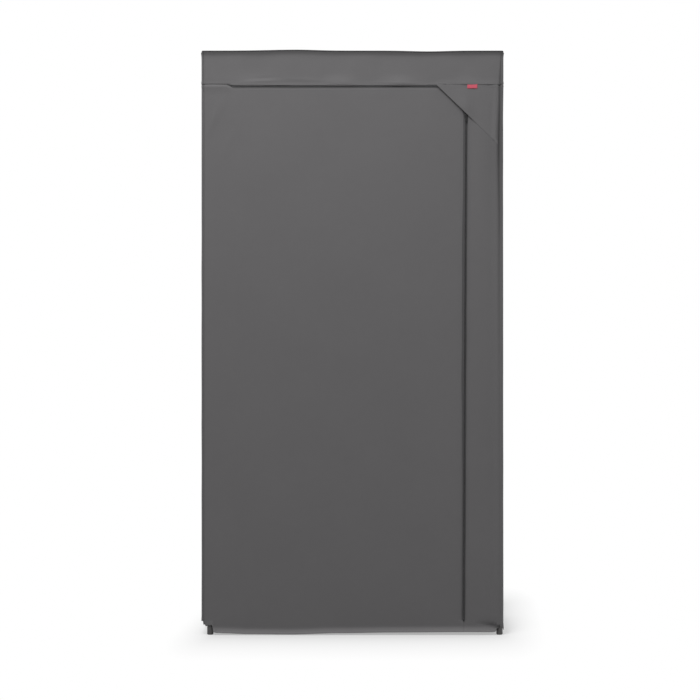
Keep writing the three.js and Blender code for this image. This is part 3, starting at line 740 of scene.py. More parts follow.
# Each crease: its middle, its lean, its length, its width and how proud it is
CREASES = [
    (-0.393, 1.523, 0.42, 0.060, 0.011, 0.0022),
    (-0.361, 1.432, 0.50, 0.052, 0.010, 0.0014),
    (0.240, 1.470, -0.62, 0.070, 0.020, 0.0007),
]
WALL_CREASES = [
    (0.535, 1.440, -0.34, 0.150, 0.017, 0.0034),
    (0.790, 1.390, 0.30, 0.190, 0.019, 0.0032),
    (0.640, 0.820, -0.08, 0.300, 0.024, 0.0026),
    (0.560, 0.230, 0.42, 0.100, 0.015, 0.0026),
    (0.760, 0.300, -0.26, 0.130, 0.016, 0.0024),
    (0.990, 1.420, -0.46, 0.200, 0.019, 0.0036),
    (1.640, 1.430, 0.40, 0.210, 0.019, 0.0036),
    (1.210, 0.980, -0.10, 0.330, 0.027, 0.0030),
    (1.450, 0.620, 0.12, 0.280, 0.025, 0.0030),
    (1.060, 0.240, 0.50, 0.120, 0.016, 0.0026),
    (1.600, 0.220, -0.44, 0.110, 0.016, 0.0026),
    (1.860, 1.400, -0.32, 0.180, 0.018, 0.0034),
    (2.090, 1.440, 0.36, 0.150, 0.017, 0.0032),
    (1.990, 0.760, 0.09, 0.300, 0.024, 0.0026),
    (1.890, 0.240, 0.40, 0.110, 0.015, 0.0024),
]
CREASE_REACH = 3
HEADER_WAVES = [(0.0022, 11, 7, 4.1), (0.0005, 46, 38, 8.3)]
LOOSE_WAVES = [(0.0011, 11, 12, 3.3)]
FRONT_WAVES = [(0.0010, 2.6, 1.5, 1.7), (0.00045, 9, 5, 2.9)]
WALL_WAVES = [(0.0052, 7.5, 0.9, 5.5), (0.0020, 19, 2.4, 6.6)]
FINE_WAVES = [(0.0004, 16, 9, 7.2)]
ROOF_WAVES = [(0.0016, 5, 3.2, 9.4)]
ROOF_FINE_WAVES = [(0.0005, 17, 9, 2.2)]
GUSSET_WAVES = [(0.0006, 22, 22, 5.1)]
PIPING_WAVES = [(0.00012, 60, 1, 1.2)]
TAB_WAVES = [(0.00015, 4, 3, 6.1)]
# The cloth's height beside its edges
SEAM_DIP = [(0.0045, 0.0030, 0.0009), (0.0, 0.0013, -0.0016)]
ROLL_SHARES = [(0.0130, 0.0075, 0.9), (0.0, 0.0032, -0.95)]
FLAT_SHARES = [(0.0055, 0.0030, 0.315), (0.0, 0.0032, -0.95)]
LEFT_SPREAD = 0.0036
SHELF_AT = 0.0062
SHELF_SPREAD = (0.0110, 0.0046)
SHELF_HIGH = 0.0021
SHELF_DIP = [(0.0, 0.0014, -0.0010)]
HEM_STITCH = 0.0025
NEAR_STITCH = 0.0024
HEM_DIMPLE = [(-HEM_STITCH, 0.0010, -0.00030)]
HEM_THICK = 0.00035
HEM_FALL = -0.0018
ZIP_SIDE_DIP = [(0.0, 0.009, -0.0019)]
ZIP_TOP_DIP = [(0.0, 0.006, -0.0013)]
COLUMN_DIP = [(0.0, 0.004, 0.0004)]
LIP_DIP = [(0.0, 0.0036, -0.0009)]
LIP_RAISED = [(0.0, 0.012, 0.0017)]
HEADER_EDGE = [(0.0, 0.0085, 0.0014)]
# The front's strip beside the post, and the tuck over the foot
POST_GUTTER = [(-0.020, 0.008, -0.0012)]
POST_GUTTER_END = (1.58, -0.06)
SWELL = [(0.372, 0.024, 0.0013)]
SWELL_START = (0.06, 0.10)
TUCK = [(0.352, 0.037), (0.410, 0.029), (0.424, 0.0245)]
TUCK_REACH = (0.352, 0.045)
TUCK_FOLD = [(0.0, 0.0036, -0.0030), (0.006, 0.009, -0.0012)]
CALM_SHARE = 0.6
CALM_TOP = (SEAM, -0.03)
CALM_LEFT = (LEFT, 0.02)
WALL_FULL = 0.0006
WALL_LOW = (0.09, 0.10)
WALL_TOP = (SEAM - 0.01, -0.06)
WALL_ENDS = 0.06
RISE_ENDS = 8
FLARE_HIGH = 0.019
FLARE_OUT = 0.0050
FLARE_ENDS = (0.004, 0.05)
# Painted light and shade on the cloth beside its edges, on the lip, on the puffs and over the feet: lighter
# above zero
LEFT_SHADE = [(0.0, 0.0033, -1.10)]
ZIP_SIDE_SHADE = [(0.0, 0.0036, -0.45)]
ZIP_TOP_SHADE = [(0.0, 0.0040, -0.40)]
PIPING_SHADE = [(0.0, 0.0085, -1.15)]
LIP_LIGHT = [(0.0015, 0.0040, 0.85)]
PUFF_LIGHT = [(0.013, 0.014, 66)]
FOOT_SHADE = [(0.0, 0.010, 0.5)]
FOOT_SHADE_SPREAD = 0.012
HEM_LIGHT = 1.5
HEM_LIGHT_SHARE = 1.7
HEM_LIGHT_FALL = -0.017


def rise(x):
    """How far the roof's front edge stands above or below its straight line."""
    t = (x - LEFT) / (RIGHT - LEFT)
    up = RISE_HIGH * bell((t - RISE_SHARE) / RISE_SPREAD_SHARES[t > RISE_SHARE])
    down = bumps([(*DIP_SHARES, DIP_DEEP)], t)
    return (up - down) * smooth((1 - abs(2 * t - 1)) * RISE_ENDS)


def front_seam(z):
    """Place of the front right seam, which has slipped on to the front."""
    return RIGHT - follow(SLIP, z)


def header_sag(s):
    """How far the front header's lower lip hangs below the seam, most under its puffs."""
    return step(s, *OPENED) * step(s, *SAG_END) * (LIP_SAG + PUFF_SAG_SHARE * bumps(PUFFS[:3], s))


def header_height(s, z):
    """Soft puffs and small wrinkles of the front header."""
    up = z - SEAM
    total = bumps(PUFFS, s) * bell((up - PUFF_MIDDLE) / PUFF_SPREAD[up > PUFF_MIDDLE])
    for at, over, long, fine, lean, proud in WRINKLES:
        total += proud * bell((s - at) / long) * bell((up - over - (s - at) * lean) / fine)
    return (total + waves(HEADER_WAVES, s, up)) * step(z, *HEADER_CALM)


def creases(table, s, z):
    """Long soft creases, none of them steep."""
    total = 0.0
    for at, high, lean, long, wide, proud in table:
        along = (z - high) * math.cos(lean) + (s - at) * math.sin(lean)
        across = (s - at) * math.cos(lean) - (z - high) * math.sin(lean)
        if abs(across) < CREASE_REACH * wide and abs(along) < CREASE_REACH * long:
            total += proud * bell(across / wide) * bell(along / long)
    return total


def front_height(s, z):
    """Faint billows and creases of the front below the header."""
    calm = step(z, *CALM_TOP) * step(s, *CALM_LEFT)
    return (waves(FRONT_WAVES, s, z) + creases(CREASES, s, z)) * calm


def column_height(s, z):
    """The strip right of the zip: a soft gutter beside the post and the tuck over the foot."""
    gutter = bumps(POST_GUTTER, s - front_seam(z)) * step(z, *POST_GUTTER_END)
    swell = bumps(SWELL, s) * step(z, *SWELL_START)
    tuck = bumps(TUCK_FOLD, z - follow(TUCK, s)) * step(s, *TUCK_REACH)
    return front_height(s, z) * CALM_SHARE + gutter + swell + tuck


def wall_height(s, z, away):
    """Loose upright folds of the sides and the back, calm near the posts and rails."""
    folds = waves(WALL_WAVES, s, z) + creases(WALL_CREASES, s, z) + WALL_FULL
    rails = step(z, *WALL_LOW) * step(z, *WALL_TOP)
    return folds * step(away, 0, WALL_ENDS) * rails + waves(FINE_WAVES, s, z)


def flare(z, hem, away):
    """The hem turns a little outward at its very bottom, but not at the corners of the cover."""
    return FLARE_OUT * step(z - hem, FLARE_HIGH, -FLARE_HIGH) * step(away, *FLARE_ENDS)


ROUNDED_SHARE = 0.36


def edge_round(distance, thick):
    """How much of the cloth's half thickness is rounded away near an edge."""
    t = min(distance / thick, 1.0)
    return ROUNDED_SHARE * thick * (1 - math.sqrt(max(0.0, 1 - (1 - t) ** 2)))


def hem_step(distance, hem):
    """The doubled cloth of a hem and the dimple of its stitch line."""
    return HEM_THICK * step(distance, hem, HEM_FALL) + bumps(HEM_DIMPLE, distance - hem)


def hem_painted_light(distance, hem):
    """Painted light on the hem: the doubled hem is a little paler than the single cloth, and painted light
    stands in for the light that the floor throws up on it.
    """
    return HEM_LIGHT * step(distance, hem * HEM_LIGHT_SHARE, HEM_LIGHT_FALL)


def seam_painted_shade(distance, z):
    """Painted shade in the gutter of the slipped front right seam, and a broad painted shade beside it."""
    broad = bumps(BROAD_SHADE, z) * bell(distance / BROAD_SPREAD)
    return -follow(SEAM_SHADE, z) * bell(distance / SEAM_SPREAD) - broad


def slack_seam(distance, z, table=ROLL_SHARES):
    """The slipped front right seam: a gutter under a soft roll, which flattens towards the floor."""
    return follow(GUTTER, z) * bumps(table, distance)


def left_seam(distance, z):
    """The front left seam, a shallow gutter close to the corner."""
    return -follow(LEFT_GUTTER, z) * bell(distance / LEFT_SPREAD)


def shelf(distance):
    """Cloth that stands proud just under a seam, so that light catches its upper side."""
    spread = SHELF_SPREAD[distance < SHELF_AT]
    return SHELF_HIGH * bell((distance - SHELF_AT) / spread) + bumps(SHELF_DIP, distance)


EDGE_LINES = (0.0004, 0.0010, 0.0022, 0.0042, 0.0068, 0.0090, 0.0108, 0.0130)
LOW_LINES = (0.0004, 0.0010, 0.0030, 0.0060, 0.0085, 0.0100, 0.0115, 0.0140)
LOW_LINES += (0.0175, 0.0210, 0.0250, 0.0300, 0.0360)
FOOT_LINES = (0.0160, 0.0210, 0.0245, 0.0264, 0.0272, 0.0280, 0.0288, 0.0296, 0.0306, 0.0330, 0.0380)
FAR = 1.0
STITCH_PACE_SHARE = 1.32
STITCH_SHOULDER_SHARE = 0.55
STITCH_SUNK_SHARE = 0.8
ROW_STEP = 0.004
ZIP_ROW_STEP = 0.006
ROW_START = 3


def stitches(name, row):
    """Thread stitches along a row of (point, outward) spots that stand close together."""
    cover = settings("cover")
    points = []
    faces = []
    walked = 0.0
    wanted = cover.stitch * STITCH_PACE_SHARE / 2
    for (a, out), (b, _) in zip(row, row[1:]):
        gone = (b - a).length
        while gone > 0 and walked + gone >= wanted:
            middle = a.lerp(b, (wanted - walked) / gone)
            along = (b - a).normalized() * (cover.stitch / 2)
            lift = out.normalized() * cover.thread
            side = along.cross(out).normalized() * cover.thread
            n = len(points)
            points.append(middle - along - lift * STITCH_SUNK_SHARE)
            for shoulder in (-STITCH_SHOULDER_SHARE, STITCH_SHOULDER_SHARE):
                ring = middle + along * shoulder
                points += [ring + side, ring + lift, ring - side, ring - lift]
            points.append(middle + along - lift * STITCH_SUNK_SHARE)
            for k, m in ((0, 1), (1, 2), (2, 3), (3, 0)):
                faces.append([n, n + 1 + m, n + 1 + k])
                faces.append([n + 1 + k, n + 1 + m, n + 5 + m, n + 5 + k])
                faces.append([n + 5 + k, n + 5 + m, n + 9])
            wanted += cover.stitch * STITCH_PACE_SHARE
        walked += gone
    return make(name, points, faces, finish("sewing_thread"), [(p.x, p.z, 0.0) for p in points])


class Panel:
    """A cloth panel between four edges, which give places round the cover and heights."""

    def __init__(self, name, edges, height, tone, body="root"):
        """height and tone take a place, a height and the gaps to the left, right, low and high edges; tone
        gives the painted light and shade there.
        """
        self.name = name
        self.edges = edges
        self.height = height
        self.tone = tone
        self.body = body
        self.plan = Plan()
        self.rows = []
        low, high = edges[:2]
        self.corners = (low(0.0), low(1.0), high(0.0), high(1.0))

    def at(self, u, v):
        low, high, left, right = self.edges
        a, b, c, d = self.corners
        sides = low(u) * (1 - v) + high(u) * v + left(v) * (1 - u) + right(v) * u
        return sides - a * ((1 - u) * (1 - v)) - b * (u * (1 - v)) - c * ((1 - u) * v) - d * (u * v)

    def sew(self, wide, high, nodes, left_lines=EDGE_LINES):
        """The panel's piece, for a rough width and height."""
        cover = settings("cover")

        def spot(u, v):
            at = self.at(u, v)
            gaps = (u * wide, (1 - u) * wide, v * high, (1 - v) * high)
            out = self.height(*at, gaps)
            worn = edge_round(min(gaps), cover.thick)
            inner = self.plan.point(*at, out - cover.thick + worn)
            return self.plan.point(*at, out - worn), inner, (*at, self.tone(*at, gaps))

        columns = lines(wide, cover.step, left_lines, EDGE_LINES)
        rows = lines(high, cover.step, LOW_LINES, EDGE_LINES)
        self.piece = dress(shell(self.name, columns, rows, spot, finish("cover_cloth")), nodes, self.body)

    def row(self, kind, spots):
        """A row of stitches through spots, each a place, a height and its gaps."""
        line = []
        for s, z, gaps in spots:
            out = self.plan.at(s)[1]
            line.append((self.plan.point(s, z, self.height(s, z, gaps)), Vector((*out, 0))))
        made = stitches(self.name.replace("cloth", "stitches") + kind, line)
        self.rows.append(dress(made, (), self.body))

    def low_row(self, kind, start, end, low, up, ends=None):
        """Stitches over the low edge. ends are the places of the side edges, if these are near."""
        left, right = ends or (start - FAR, end + FAR)
        count = round((end - start) / ROW_STEP)
        places = [between(start, end, k / count) for k in range(count + 1)]
        self.row(kind, [(s, low(s) + up, (s - left, right - s, up, FAR)) for s in places])

    def zip_rows(self, route, side, reach, spared, gaps):
        """Two rows beside the zip, as far as a reach. gaps gives the gaps at a length and an inset."""
        count = round(reach / ZIP_ROW_STEP)
        for kind, inset in (("_near", NEAR_STITCH), ("_far", settings("cover").hem - HEM_STITCH)):
            spots = []
            for k in range(ROW_START, count + 1 - spared):
                s = reach * k / count
                spot = route.edge(s, side) + route.at(s)[1] * (side * inset)
                spots.append((*spot, gaps(s, inset)))
            self.row(kind, spots)


def upright_edges(begin, stop, foot, head, low, high):
    """Edges of a panel between two upright seams, from a height to another. low and high shape its ends."""

    def along(z, u):
        return between(begin(z) - TUCKED, stop(z) + TUCKED, u)

    def low_edge(u):
        s = along(foot, u)
        return Vector((s, low(s)))

    def high_edge(u):
        s = along(head, u)
        return Vector((s, high(s)))

    def side_edge(u, v):
        z = between(low_edge(u).y, head, v)
        return Vector((along(z, u), z))

    return low_edge, high_edge, lambda v: side_edge(0, v), lambda v: side_edge(1, v)


def turn(profile, sides, along, at, closed=True):
    """A lathe shape: (radius, distance) points turned about a direction through a point."""
    aim = UP.rotation_difference(along.normalized()).to_matrix()
    angles = [2 * math.pi * k / sides for k in range(sides)]
    points = [at + aim @ Vector((r * math.cos(a), r * math.sin(a), t)) for r, t in profile for a in angles]
    return points, skin(len(profile), sides, closed)


def whole(name, solids, cuts, material, ease):
    """Solids joined into one, with cuts taken out and its edges eased."""
    objects = []
    for points, faces in (*solids, *cuts):
        mesh = bpy.data.meshes.new("part_of_" + name)
        mesh.from_pydata([tuple(p) for p in points], [], faces)
        objects.append(linked("part_of_" + name, mesh))
    base = objects[0]
    for k, thing in enumerate(objects[1:], 1):
        joined = base.modifiers.new("join", "BOOLEAN")
        joined.solver = "MANIFOLD"
        joined.operation = "UNION" if k < len(solids) else "DIFFERENCE"
        joined.object = thing
    softer = base.modifiers.new("ease", "BEVEL")
    softer.width = ease
    softer.segments = 2
    softer.limit_method = "ANGLE"
    softer.angle_limit = math.radians(EASED_ANGLE)
    bpy.context.view_layer.update()
    mesh = bpy.data.meshes.new_from_object(base.evaluated_get(bpy.context.evaluated_depsgraph_get()))
    for thing in objects:
        bpy.data.objects.remove(thing)
    mesh.name = name
    return placed(name, mesh, material, SHARP_ANGLE)


ROUND_SIDES = 32
EASED_ANGLE = 42
SHARP_ANGLE = 38
BALL_STEPS = 16
ROD_EASE = 0.0006


def rod(radius, low, high, along, at, sides=ROUND_SIDES, ease=ROD_EASE):
    """A solid rod with eased ends."""
    profile = [(radius - ease, low), (radius, low + ease), (radius, high - ease), (radius - ease, high)]
    return turn(profile, sides, along, at, closed=False)


def ball(radius, at):
    """A sphere as a lathe shape."""
    angles = [math.pi * (k + 0.5) / BALL_STEPS - math.pi / 2 for k in range(BALL_STEPS)]
    profile = [(radius * math.cos(a), radius * math.sin(a)) for a in angles]
    return turn(profile, ROUND_SIDES, UP, at, closed=False)


def brick(centre, size):
    """A block with a centre and a size."""
    signs = [(x, y, z) for z in (-1, 1) for y in (-1, 1) for x in (-1, 1)]
    points = [centre + Vector((x * size.x, y * size.y, z * size.z)) / 2 for x, y, z in signs]
    return points, [[0, 2, 3, 1], [4, 5, 7, 6], [0, 1, 5, 4], [2, 6, 7, 3], [0, 4, 6, 2], [1, 3, 7, 5]]


def plate(outline, low, high, ease):
    """A flat plate with an outline in its own plane and eased edges."""
    middle = Vector((sum(p.x for p in outline), sum(p.y for p in outline))) / len(outline)
    points = []
    for inset, z in ((ease, low), (0.0, low + ease), (0.0, high - ease), (ease, high)):
        points += [Vector((*(p + (middle - p).normalized() * inset), z)) for p in outline]
    return points, skin(4, len(outline))


def arc(centre, radius, start, end, count):
    """Points on an arc, in degrees."""
    angles = [math.radians(between(start, end, k / count)) for k in range(count + 1)]
    return [Vector(centre) + Vector((math.cos(a), math.sin(a))) * radius for a in angles]


def moved(shapes, place):
    """Shapes in another place, turned right side out again where it mirrors them."""
    mirrored = place.determinant() < 0
    return [([place @ p for p in points], flipped(faces) if mirrored else faces) for points, faces in shapes]


def middle(node):
    """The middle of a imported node's box."""
    low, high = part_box(node)
    return (low + high) / 2


# Small sizes of the tubes
RIM = 0.00025
NECK = 0.0069
NECK_LIP = 0.0002
NECK_TAPER = 0.004
TUBE_SHARP = 50


class WARDROBE_OT_tubes(bpy.types.Operator):
    """Makes the posts, rails and the hanging rail"""

    bl_idname = "wardrobe.tubes"
    bl_label = "Tubes"

    def execute(self, context):
        corners = [f"{end}_{side}" for end in ENDS for side in SIDES]
        names = [f"{row}_{corner}" for row in ("post_lower", "post_upper") for corner in corners]
        names += [f"{row}_{end}" for row in ("top_rail", "base_rail") for end in ENDS]
        names += [f"base_side_{side}" for side in SIDES]
        names += [f"top_side_{corner}" for corner in corners]
        for node in (*names, "hanging_rail"):
            low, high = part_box(node)
            size = high - low
            axis = max(range(3), key=lambda k: size[k])
            start = middle(node)
            start[axis] = low[axis]
            along = ORIGIN.copy()
            along[axis] = 1
            profile = self.profile(min(size) / 2, size[axis], node.startswith("post_upper"))
            points, faces = turn(profile, ROUND_SIDES, along, start)
            dress(make("tube_" + node, points, faces, finish("tube_coat"), sharp=TUBE_SHARP), [node])
        return {"FINISHED"}

    def profile(self, radius, long, necked):
        """The wall of a tube with eased rims, and with a thinner neck at the low end of an upper post."""
        sizes = settings("frame")
        inner = radius - sizes.wall
        out = NECK if necked else radius
        hole = out - sizes.wall
        profile = [(hole, RIM), (hole + RIM, 0.0), (out - RIM, 0.0), (out, RIM)]
        if necked:
            profile += [(out, sizes.neck - NECK_LIP), (radius - RIM, sizes.neck), (radius, sizes.neck + RIM)]
        profile += [(radius, long - RIM), (radius - RIM, long), (inner + RIM, long), (inner, long - RIM)]
        if necked:
            profile += [(inner, sizes.neck + NECK_TAPER), (hole, sizes.neck)]
        return profile


# Small sizes of the joiners
COLLAR = 0.0042
COLLAR_EASE = 0.0008
RIBS = 4
RIB_AT = 0.0215
RIB = 0.0011
RIB_LONG = 0.021
RIB_PROUD = 0.0001
BORE_PAST = 0.002
BORE_EASE = 0.0002
CORNER_EASE = 0.0003
BRACKET_EASE = 0.0004
WEB = 0.012
FIN = (0.0026, 0.030)


def sockets(arms):
    """Sockets along directions from points, each with a collar and grip ribs, and their bores."""
    sizes = settings("frame")
    solids = []
    bores = []
    for along, at in arms:
        solids.append(rod(sizes.socket, 0.0, sizes.reach, along, at))
        solids.append(rod(sizes.collar, sizes.reach - COLLAR, sizes.reach, along, at, ease=COLLAR_EASE))
        side = along.orthogonal().normalized()
        for k in range(RIBS):
            out = Matrix.Rotation(math.pi * (k + 0.5) / 2, 3, along) @ side
            centre = at + along * RIB_AT + out * (sizes.socket + RIB_PROUD)
            solids.append(brick(centre, Vector([RIB + RIB_LONG * abs(x) for x in along])))
        bores.append(rod(sizes.bore, sizes.core, sizes.reach + BORE_PAST, along, at, ease=BORE_EASE))
    return solids, bores


class WARDROBE_OT_joiners(bpy.types.Operator):
    """Makes the moulded corners and the drop brackets of the hanging rail"""

    bl_idname = "wardrobe.joiners"
    bl_label = "Joiners"

    def execute(self, context):
        for side, inward in SIDES.items():
            for end, deeper in ENDS.items():
                post = middle(f"post_lower_{end}_{side}")
                self.corner(f"top_corner_{end}_{side}", post, (inward, deeper, -UP))
                self.corner(f"base_corner_{end}_{side}", post, (inward, deeper, UP))
            self.bracket(f"drop_bracket_{side}", side, inward)
        return {"FINISHED"}

    def join(self, node, solids, bores, ease):
        """A joiner from its solids and its bores, in the place of a packed one."""
        dress(whole("joiner_" + node, solids, bores, finish("joiner_plastic"), ease), [node])

    def corner(self, node, post, arms):
        """A ball with three sockets over a post's middle, and with a pin for the foot at the base."""
        sizes = settings("frame")
        low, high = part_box(node)
        base = UP in arms
        at = Vector((post.x, post.y, high.z - (sizes.reach if base else sizes.hub)))
        solids, bores = sockets([(arm, at) for arm in arms])
        pin = [rod(sizes.leg, 0.0, at.z - low.z, -UP, at)] if base else []
        self.join(node, [ball(sizes.hub, at), *solids, *pin], bores, CORNER_EASE)

    def bracket(self, node, side, inward):
        """A bracket that joins the two side tubes and drops to the hanging rail."""
        socket = settings("frame").socket
        x = middle(f"post_lower_front_{side}").x
        y = middle(node).y
        upper = Vector((x, y, middle("top_rail_front").z))
        hang = Vector((x, y, middle("hanging_rail").z))
        solids, bores = sockets([*((way, upper) for way in ENDS.values()), (inward, hang)])
        solids.append(rod(socket, 0.0, socket, -inward, hang))
        for wide, deep in ((WEB, WEB), FIN):
            solids.append(brick((upper + hang) / 2, Vector((wide, deep, upper.z - hang.z))))
        self.join(node, solids, bores, BRACKET_EASE)


# A foot's section as (radius, height) points, from its dished underside
FOOT_DISH = [(0.0008, 0.0012), (0.0046, 0.0010), (0.0052, 0.0)]
FOOT_ROUND = 0.003
FOOT_STEPS = 6
FOOT_GROOVES = (0.026, 0.029, 0.032)
GROOVE = [(0.0, -0.0007), (-0.0005, -0.0003), (-0.0005, 0.0003), (0.0, 0.0007)]
FOOT_EASE = 0.0006
FOOT_FIT = 0.0003
FOOT_FLOOR = (0.0008, 0.0062)
FOOT_SIDES = 40
FOOT_SHARP = 35


class WARDROBE_OT_feet(bpy.types.Operator):
    """Makes the four foot caps"""

    bl_idname = "wardrobe.feet"
    bl_label = "Feet"

    def execute(self, context):
        inner = settings("frame").leg + FOOT_FIT
        for side in SIDES:
            for end in ENDS:
                node = f"foot_cap_{end}_{side}"
                low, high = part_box(node)
                radius = (high.x - low.x) / 2
                tall = high.z - low.z
                profile = list(FOOT_DISH)
                for k in range(FOOT_STEPS + 1):
                    a = math.pi / 2 * k / FOOT_STEPS
                    profile.append((radius - FOOT_ROUND * (1 - math.sin(a)), FOOT_ROUND * (1 - math.cos(a))))
                profile += [(radius + off, at + up) for at in FOOT_GROOVES for off, up in GROOVE]
                profile += [(radius, tall - FOOT_EASE), (radius - FOOT_EASE, tall), (inner, tall)]
                profile += [(inner, FOOT_FLOOR[1]), FOOT_FLOOR]
                post = middle(f"post_lower_{end}_{side}")
                at = Vector((post.x, post.y, low.z))
                points, faces = turn(profile, FOOT_SIDES, UP, at, closed=False)
                material = finish("foot_plastic")
                dress(make(f"foot_{end}_{side}", points, faces, material, sharp=FOOT_SHARP), [node])
        return {"FINISHED"}


# The front's big panel
FRONT_RESTS = ["top_rail_front", "base_rail_front"]
DOOR_FLAT = (0.80, 1.62)
DOOR_CLOSING = 0.004
DOOR_ROW = (-0.400, -0.001)
DOOR_PALE = (-0.410, 0.006)
ROWS_SPARED = 3


class WARDROBE_OT_door_panel(bpy.types.Operator):
    """Makes the front's big panel, one cloth from the left seam to the zip, which is the door"""

    bl_idname = "wardrobe.door_panel"
    bl_label = "Door panel"

    def execute(self, context):
        route = Route()
        hem = settings("cover").hem
        left = Plan().left
        top = SEAM + TUCKED
        below = ZIP_LOW.y - follow(DOOR_HEM, ZIP_LOW.x)
        level = ZIP_LEFT.x - left

        def low(s):
            return follow(DOOR_HEM, s)

        def low_edge(u):
            s = between(left, ZIP_LOW.x, u)
            return Vector((s, low(s)))

        def high_edge(u):
            t = u * (level + route.total - route.middle)
            if t > level:
                return route.edge(route.total - t + level, 1)
            return Vector((left + t, between(top, ZIP_LEFT.y, step(t, level - DOOR_CLOSING, DOOR_CLOSING))))

        def left_edge(v):
            return Vector((left, between(low(left), top, v)))

        def right_edge(v):
            s = v * (below + route.middle) - below
            return route.edge(s, 1) if s > 0 else Vector((ZIP_LOW.x, ZIP_LOW.y + s))

        def height(s, z, gaps):
            to_left, to_right, to_low, to_high = gaps
            opened = step(s, *OPENED)
            total = front_height(s, z) + left_seam(to_left, z) + hem_step(to_low, hem)
            total += flare(z, low(s), to_left)
            total += step(z, *SLIT) * (hem_step(to_right, hem) + bumps(ZIP_SIDE_DIP, to_right))
            total += opened * (hem_step(to_high, hem) + bumps(ZIP_TOP_DIP, to_high))
            return total + (1 - opened) * shelf(to_high)

        # Painted shade beside the left seam, along the door's top edge under the header's lip and beside the
        # zip, and painted light on the hem.
        def tone(s, z, gaps):
            to_left, to_right, to_low, to_high = gaps
            shade = bumps(LEFT_SHADE, to_left) + step(s, *OPENED) * bumps(ZIP_TOP_SHADE, to_high)
            shade += step(z, *SLIT) * bumps(ZIP_SIDE_SHADE, to_right)
            return shade + hem_painted_light(to_low, hem) * step(s, *DOOR_PALE)

        def gaps(s, inset):
            return (FAR, inset, FAR, FAR) if s < route.middle else (FAR, FAR, FAR, inset)

        panel = Panel("cloth_door", (low_edge, high_edge, left_edge, right_edge), height, tone, "door")
        nodes = ["front_panel_fixed", "door_flap"]
        panel.sew(ZIP_LOW.x - left, top - low(ZIP_LOW.x), nodes, (*EDGE_LINES, *FOOT_LINES))
        panel.zip_rows(route, 1, route.total, ROWS_SPARED, gaps)
        panel.low_row("_hem", DOOR_ROW[0], ZIP_LOW.x + DOOR_ROW[1], low, hem - HEM_STITCH)
        sheet(panel.piece, DOOR_FLAT, FRONT_RESTS, panel.rows)
        return {"FINISHED"}


# The strip right of the zip
COLUMN_WIDE = 0.104
COLUMN_FLAT = (0.13, 1.62)
REACH_STEP = 0.001
NEAR_LOW = 0.01
LAP = 0.004
LAP_OVER = -0.003
LAP_DEEP = -0.0022
LAP_EDGE = 0.001
COLUMN_ROW = (0.002, 0.405)
FLARE_PAST = 0.02
DIP_SHARE = 0.5
# The painted shadow in the tuck over the foot, and where the painted light of the hem stops
TUCK_ABOVE = (-0.0085, 0.004)
TUCK_SHADE_SPREAD = 0.0054
TUCK_SHADES = (0.75, 0.55)
TUCK_DARKER = (0.390, 0.02)
PALE_ENDS = (0.006, 0.004)


class WARDROBE_OT_front_column(bpy.types.Operator):
    """Makes the strip of the front right of the zip"""

    bl_idname = "wardrobe.front_column"
    bl_label = "Front column"

    def execute(self, context):
        cover = settings("cover")
        hem = cover.hem
        route = Route()
        top = SEAM - cover.gap
        start = ZIP_LOW.x + cover.gap
        reach = route.bent
        while route.beside(reach, -route.slot).y > top:
            reach -= REACH_STEP

        def low(s):
            return follow(COLUMN_HEM, s)

        below = ZIP_LOW.y - low(ZIP_LOW.x)

        def low_edge(u):
            s = between(start - LAP, front_seam(0.0) + TUCKED, u)
            return Vector((s, low(s)))

        def high_edge(u):
            return route.edge(reach, -1).lerp(Vector((front_seam(top) + TUCKED, top)), u)

        def left_edge(v):
            s = v * (below + reach) - below
            if s <= 0:
                return Vector((start - LAP * step(s, 0, LAP_OVER), ZIP_LOW.y + s))
            spot = route.edge(s, -1)
            return Vector((max(spot.x, start), spot.y)) if s < NEAR_LOW else spot

        def right_edge(v):
            z = between(low(front_seam(0.0)), top, v)
            return Vector((front_seam(z) + TUCKED, z))

        def height(s, z, gaps):
            to_left, to_right, to_low, to_high = gaps
            slit = step(z, *SLIT)
            total = column_height(s, z) + slack_seam(to_right, z) + hem_step(to_low, hem)
            total += flare(z, low(s), to_right + FLARE_PAST) + DIP_SHARE * bumps(SEAM_DIP, to_high)
            total += (1 - slit) * LAP_DEEP * step(s, ZIP_LOW.x + LAP_EDGE, -LAP_EDGE)
            return total + slit * (hem_step(to_left, hem) + bumps(COLUMN_DIP, to_left))

        # Painted shadow along the tuck and over the foot, painted shade in the seam's gutter and beside the
        # zip, and painted light on the hem.
        def tone(s, z, gaps):
            to_left, to_right, to_low, to_high = gaps
            line = z - follow(TUCK, s)
            reached = step(s, *TUCK_REACH)
            dark, darker = TUCK_SHADES
            tuck = (dark + darker * step(s, *TUCK_DARKER)) * bell(line / TUCK_SHADE_SPREAD) * reached
            tuck += bumps(FOOT_SHADE, to_low) * bell(to_right / FOOT_SHADE_SPREAD)
            pale = (1 - step(line, *TUCK_ABOVE) * reached) * step(to_right, *PALE_ENDS)
            shade = seam_painted_shade(to_right, z) + step(z, *SLIT) * bumps(ZIP_SIDE_SHADE, to_left)
            return hem_painted_light(to_low, hem) * pale - tuck + shade

        panel = Panel("cloth_column", (low_edge, high_edge, left_edge, right_edge), height, tone)
        panel.sew(COLUMN_WIDE, top - low(ZIP_LOW.x), ["front_column"])
        panel.low_row("_hem", start + COLUMN_ROW[0], COLUMN_ROW[1], low, hem - HEM_STITCH)
        panel.zip_rows(route, -1, route.side, 0, lambda s, inset: (inset, FAR, FAR, FAR))
        sheet(panel.piece, COLUMN_FLAT, FRONT_RESTS, panel.rows)
        return {"FINISHED"}


# The sides and the back
ALLOWED = 0.02
WALL_ROW = 0.002
WALL_PALE = (0.02, 0.03)
WALL_SHARE = 0.6
SIDE_RESTS = {
    "left": ["top_side_front_left", "base_side_left"],
    "right": ["top_side_front_right", "base_side_right"],
    "back": ["top_rail_back", "base_rail_back"],
}


